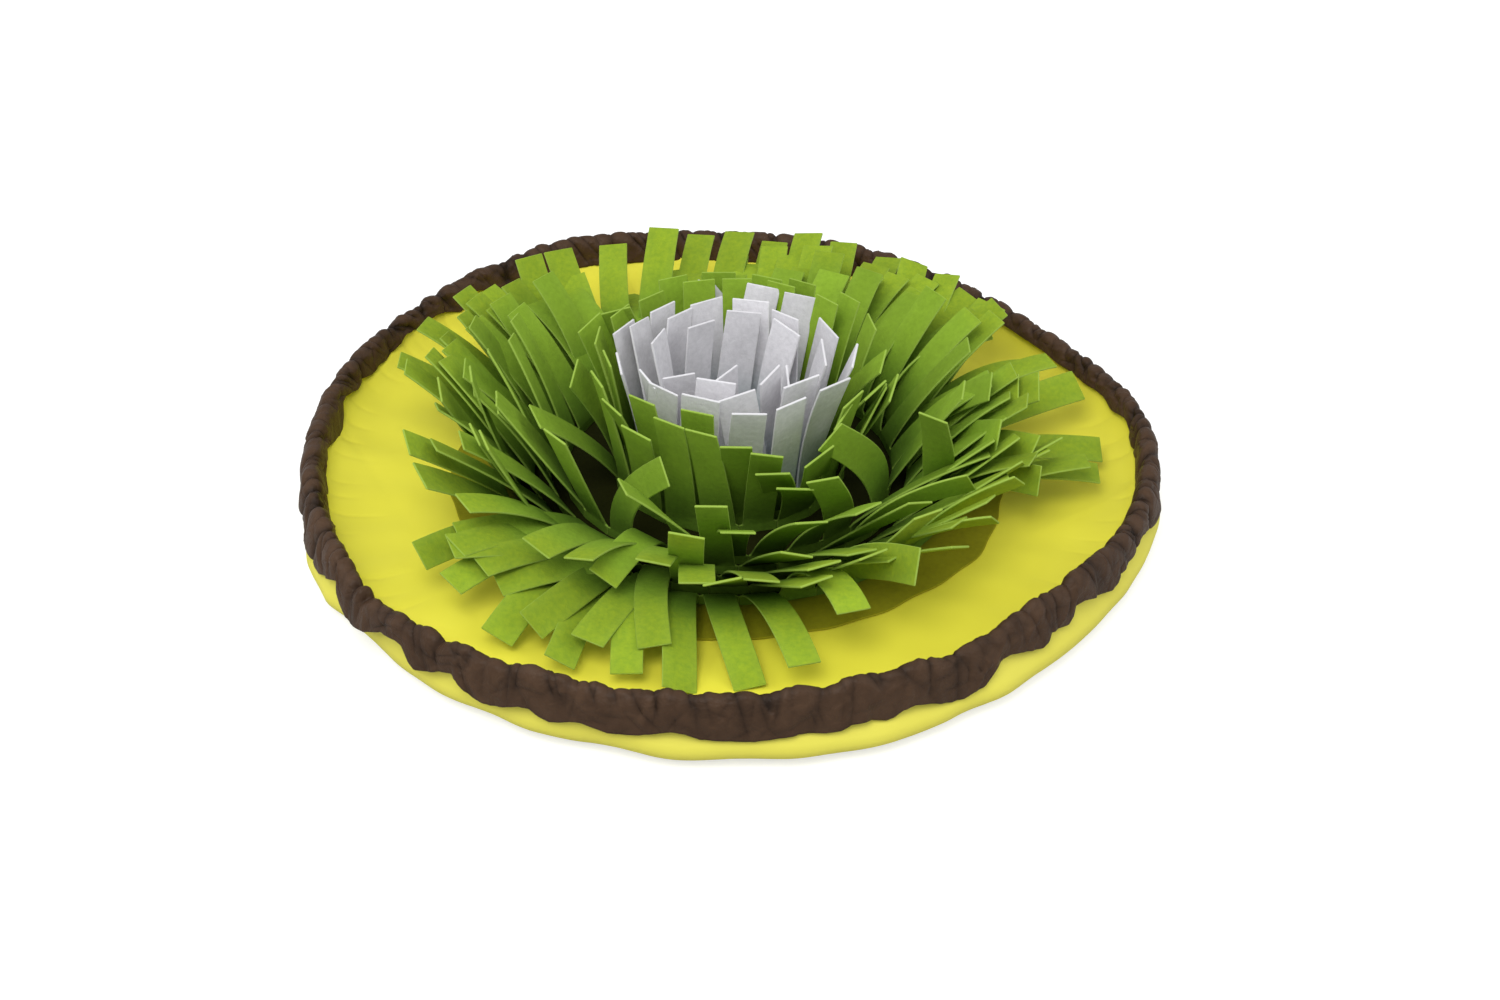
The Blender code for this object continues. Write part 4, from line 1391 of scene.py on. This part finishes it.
# %% Strips that were read off the photograph
# ring: (root in degrees, corner x, y, other corner x, y, then lean, bend, sweep and twist
# where the strip plainly differs from its neighbours)
AIMED = {
    "white_fringe_inner": (
        (90, 763, 313, 726, 311), (135, 716, 319, 687, 329), (180, 665, 328, 651, 344),
        (45, 800, 336, 774, 319), (270, 718, 380, 735, 366), (0, 790, 398, 786, 360),
        (315, 757, 392, 784, 356), (225, 668, 380, 690, 372),
    ),
    "white_fringe_middle": (
        (252, 695, 378, 738, 384), (288, 719, 401, 752, 391), (324, 783, 388, 820, 375),
        (108, 722, 296, 691, 306), (144, 692, 308, 668, 319), (72, 769, 302, 733, 299),
        (36, 800, 322, 770, 307), (180, 649, 312, 629, 328), (216, 640, 370, 655, 388),
        (0, 826, 372, 822, 330),
    ),
    "white_fringe_outer": (
        (221, 648, 382, 679, 396), (249, 682, 394, 720, 402), (277, 726, 414, 773, 414),
        (305, 775, 411, 808, 396), (332, 820, 390, 850, 379), (0, 852, 368, 858, 343),
        (111, 739, 283, 696, 279), (83, 782, 289, 746, 284), (55, 821, 299, 780, 292),
        (28, 838, 336, 820, 321), (138, 674, 303, 651, 312), (166, 635, 317, 612, 336),
        (194, 616, 350, 622, 376),
    ),
    "green_collar_inner": (
        (233, 627, 393, 656, 407), (275, 720, 447, 752, 448), (296, 753, 474, 792, 474, 40, 20),
        (318, 812, 462, 826, 452, 30, 4), (339, 838, 424, 848, 411, 24, 4), (0, 866, 398, 884, 384),
        (21, 880, 372, 886, 352), (212, 606, 404, 618, 412),
    ),
    "green_collar_outer": (
        (246, 655, 418, 683, 428), (265, 682, 427, 719, 439), (227, 622, 426, 650, 440),
        (284, 750, 453, 784, 458), (303, 777, 488, 813, 490, 40, 36), (341, 888, 384, 880, 396, 24, 12),
        (0, 890, 400, 897, 377, 26, 4),
        (133, 628, 309, 602, 313), (152, 600, 316, 578, 331), (170, 578, 364, 570, 384),
        (189, 535, 411, 537, 424, 40, 35),
    ),
    "green_skirt_first": (
        (219, 542, 427, 567, 446, 30, 16), (206, 497, 392, 496, 406, 36, 16),
        (154, 525, 303, 507, 316), (141, 547, 300, 526, 305), (244, 588, 567, 618, 590, 26, 84),
        (26, 961, 334, 970, 354), (39, 925, 300, 905, 292), (334, 820, 448, 840, 426, 4, 0, -40, 0),
        (309, 807, 482, 838, 478, 26, 10), (257, 623, 484, 624, 492, 6, 6, -40, 60),
        (193, 498, 394, 497, 412, 24, 12, -20, 0), (347, 962, 400, 965, 380, 36, 24),
        (231, 661, 458, 668, 485, 24, 6, 60, 0),
    ),
    "green_skirt_second": (
        (221, 451, 521, 466, 551, 52, 32), (151, 507, 297, 486, 311), (163, 482, 315, 465, 329),
        (267, 688, 506, 734, 507, 30, 8), (139, 552, 270, 533, 282), (35, 954, 294, 930, 283),
        (174, 468, 362, 462, 376), (12, 990, 398, 990, 376, 40, 26),
        (314, 967, 474, 974, 492, 40, 10, 50, 0),
    ),
    "green_skirt_third": (
        (229, 470, 552, 489, 577, 60, 30), (131, 585, 271, 557, 283), (33, 986, 322, 971, 309),
        (44, 1001, 336, 986, 321, 40, 20), (11, 1020, 400, 1015, 378, 44, 26),
        (0, 1000, 446, 996, 428, 44, 40), (262, 676, 583, 718, 583, 36, 40),
        (338, 1028, 466, 1038, 453, 44, 30, 20, 0), (240, 491, 569, 504, 597, 62, 34),
        (251, 633, 650, 676, 642, 56, 34),
    ),
    "green_skirt_fourth": (
        (240, 521, 611, 542, 640, 62, 34), (140, 496, 271, 473, 283),
        (190, 470, 366, 472, 382, 34, 14, -24, 0), (200, 474, 431, 477, 440, 32, 10, -30, 0),
        (210, 483, 436, 486, 446, 32, 10, -30, 0),
        (250, 567, 633, 607, 648, 66, 34), (230, 441, 532, 458, 560, 60, 30),
        (260, 667, 532, 706, 539, 44, 4),
        (340, 919, 412, 947, 424, 10, 0, 0, 80),
        (10, 1040, 400, 1036, 374, 50, 30), (20, 1035, 377, 1026, 360, 46, 26),
        (0, 1029, 462, 1036, 440, 52, 36), (350, 1039, 497, 1039, 466, 54, 40),
    ),
    "green_skirt_outermost": (
        (148, 470, 285, 452, 296), (138, 542, 252, 515, 261),
        (129, 570, 246, 547, 256), (120, 630, 242, 597, 248), (111, 678, 227, 651, 229),
        (102, 716, 235, 687, 236), (92, 753, 233, 727, 232), (83, 789, 243, 761, 242),
        (74, 820, 235, 797, 233), (65, 858, 244, 830, 242), (55, 898, 261, 880, 256),
        (46, 925, 268, 903, 256), (37, 956, 279, 938, 272), (28, 1002, 312, 980, 297),
        (18, 1056, 367, 1045, 354), (9, 1094, 399, 1076, 367), (0, 1110, 462, 1107, 437),
        (351, 1108, 485, 1096, 463), (157, 428, 317, 417, 330), (166, 400, 352, 398, 367),
        (175, 407, 359, 405, 374), (185, 438, 377, 442, 402),
        (194, 405, 431, 409, 454, 52, 30, -16, 0), (203, 415, 464, 426, 488, 56, 30, -16, 0),
        (212, 413, 540, 427, 572), (222, 440, 572, 462, 595), (231, 482, 627, 512, 647),
        (240, 539, 667, 580, 680, 82, 16), (249, 604, 674, 649, 673), (258, 662, 685, 697, 695),
        (268, 733, 692, 768, 684), (277, 783, 667, 827, 662), (286, 835, 614, 873, 608, 20, 110),
        (295, 922, 553, 912, 580, 52, 10, 62, 0), (305, 912, 520, 945, 508, 40, 10, 30, 0),
        (314, 995, 516, 989, 525, 40, 6, 56, 0), (323, 1018, 475, 1016, 488, 42, 6, 46, 0),
    ),
}
marked = sum(len(rows) for rows in AIMED.values())
print("strips read off the photograph:", marked)

# %% [markdown]
# The fit itself is small. From its usual stance each strip is changed a little at a time,
# in lean, bend, turn, sweep, twist and length, until its end shows where it should. Each
# change costs something, so the answer stays close to how felt behaves. This is a damped
# least-squares fit, done for all marked strips of a ring at once.

# %% Aim the strips
CHANGE_COST = np.array((11.0, 20.0, 0.01, 9.0, 20.0, 20.0, 2.0 * MM))
PIXEL_COST = 2.5
FIT_ROUNDS = 16
FIT_NUDGE = np.array((0.5, 0.5, 0.01, 0.5, 0.5, 0.5, 0.2 * MM))
FIT_STEP = np.array((8.0, 14.0, 0.01, 6.0, 12.0, 12.0, 2 * MM))


def end_pixels(azimuth, radius, shape, half_width):
    """Where both corners of each strip's end show in the photograph."""
    middle, across, _ = walk_strips(azimuth, radius, shape)
    side = across[:, -1] * half_width
    corners = np.stack([middle[:, -1] - side, middle[:, -1] + side], axis=1)
    return photo_pixels(corners).reshape(len(azimuth), 4)


def aim_strips(azimuth, radius, usual, targets, half_width):
    """Shapes of strips whose ends show at the target pixels."""
    shape = usual.copy()
    for _ in range(FIT_ROUNDS):
        here = end_pixels(azimuth, radius, shape, half_width)
        slopes = []
        for k, nudge in enumerate(FIT_NUDGE):
            moved = shape.copy()
            moved[:, k] += nudge
            slopes.append((end_pixels(azimuth, radius, moved, half_width) - here) / nudge)
        slopes = np.stack(slopes, axis=2)
        weight = np.diag(1 / CHANGE_COST**2)
        normal = np.einsum("nij,nik->njk", slopes, slopes) / PIXEL_COST**2 + weight
        pull = np.einsum("nij,ni->nj", slopes, targets - here) / PIXEL_COST**2
        pull += (usual - shape) / CHANGE_COST**2
        step = np.linalg.solve(normal, pull[..., None])[..., 0]
        shape = shape + np.clip(step, -FIT_STEP, FIT_STEP)
    miss = np.abs(end_pixels(azimuth, radius, shape, half_width) - targets).max(axis=1)
    return shape, miss


def aim_ring(node, shape, width):
    """Replaces the loose shapes of a ring's marked strips."""
    radius, azimuth = ring_places[node]
    half_width = (strip_pitch(radius, len(azimuth)) - SLIT) / 2
    slots, targets, usual = [], [], []
    for row in AIMED[node]:
        slot = int(np.argmin(np.abs(signed_angle(azimuth - math.radians(row[0])))))
        if slot in slots:
            continue
        start = shape[slot].copy()
        start[3:6] = (0.0, *(row[7:] or (0.0, 0.0)))
        start[:2] = row[5:7] or start[:2]
        slots.append(slot)
        targets.append(row[1:5])
        usual.append(start)
    slots = np.array(slots)
    halves = (width[slots] * half_width)[:, None]
    targets = np.array(targets, dtype=float)
    fitted, miss = aim_strips(azimuth[slots], radius, np.array(usual), targets, halves)
    shape[slots] = fitted
    print(f"{node}: {len(slots)} aimed, worst miss in pixels {miss.max():.1f}")


# %% [markdown]
# Now the ten rings are made.

# %% Make the fringe
PIECE_WORDS = (("fringe_", "strips_"), ("skirt_", "skirt_strips_"), ("collar_", "collar_strips_"))
FELTS = {"green": green_felt, "white": white_felt}
FELT_EDGE_DEGREES = 35

for seed, node in enumerate(RINGS):
    radius, azimuth = ring_places[node]
    shape, width, tone = loose_shapes(node, seed)
    aim_ring(node, shape, width)
    piece_name = node
    for word, piece_word in PIECE_WORDS:
        piece_name = piece_name.replace(word, piece_word)
    colour = node.split("_")[0]
    mesh = fringe_mesh(piece_name, azimuth, radius, shape, width, tone)
    piece = add_piece(piece_name, mesh, FELTS[colour], [node], FELT_EDGE_DEGREES)

# %% [markdown]
# The wadding and the elastic stay inside the bowl and are never seen. They are part of it
# all the same, so both follow the uneven rim and get a finish of their own: loose white
# fibre and covered black cord. The elastic lies in the casing's fold, a little below the
# crown.

# %% Wadding and elastic
def make_hidden(name, roughness, specular, noise_settings, dark, light, depth):
    """A material whose colour and bump follow one noise."""
    material, tree, shader = new_material(name, roughness, specular)
    place = add_node(tree, "ShaderNodeTexCoord").outputs["Object"]
    noise = add_noise(tree, place, *noise_settings)
    colour = add_mix(tree, noise, (*dark, 1.0), (*light, 1.0))
    tree.links.new(colour, shader.inputs["Base Color"])
    tree.links.new(add_bump(tree, noise, depth), shader.inputs["Normal"])
    return material


wadding_fibre = make_hidden(
    "wadding_fibre", 0.95, 0.2, (240.0, 5.0, 0.7), (0.78, 0.78, 0.76), (0.92, 0.92, 0.90), 2 * MM
)
elastic_cord = make_hidden(
    "elastic_cord", 0.75, 0.3, (900.0, 3.0, 0.6), (0.02, 0.02, 0.02), (0.06, 0.06, 0.06), 0.3 * MM
)
INNER_STEPS = 360
WADDING_LOW = ((3, 1.2), (120, 1.2), (200, 1.4), (232, 3.0), (241, 8.0), (243, 13.0), (240, 18.0))
WADDING_SINK = 3.2 * MM
WADDING_HIGHEST = 19 * MM
ELASTIC_RADIUS = 1.7 * MM
ELASTIC_OUT = 1.6 * MM
ELASTIC_SINK = 7.5 * MM
ELASTIC_SIDES = 8

inner_angles = np.arange(INNER_STEPS) * math.tau / INNER_STEPS


def make_wadding():
    low = smooth_path(np.array(WADDING_LOW) * MM, 30)
    rows = [place_round(radius, inner_angles, height) for radius, height in low]
    for radius in np.linspace(236, 3, 40) * MM:
        height = dish_height(radius, inner_angles) - WADDING_SINK
        rows.append(place_round(radius, inner_angles, np.minimum(height, WADDING_HIGHEST)))
    points = np.array(rows)
    mesh = rings_mesh("wadding_fill", points, points[..., :2])
    return add_piece("wadding_fill", mesh, wadding_fibre, ["wadding"])


def make_elastic():
    rows = []
    for side in range(ELASTIC_SIDES + 1):
        around = side * math.tau / ELASTIC_SIDES
        radius = CROWN_RADIUS + ELASTIC_OUT + ELASTIC_RADIUS * math.cos(around)
        height = CROWN_HEIGHT - ELASTIC_SINK + ELASTIC_RADIUS * math.sin(around)
        rows.append(place_round(radius, inner_angles, height + crown_lift(inner_angles)))
    points = np.array(rows)
    mesh = rings_mesh("elastic_loop", points, points[..., :2])
    add_piece("elastic_loop", mesh, elastic_cord, ["rim_elastic"])


wadding_fill = make_wadding()
make_elastic()
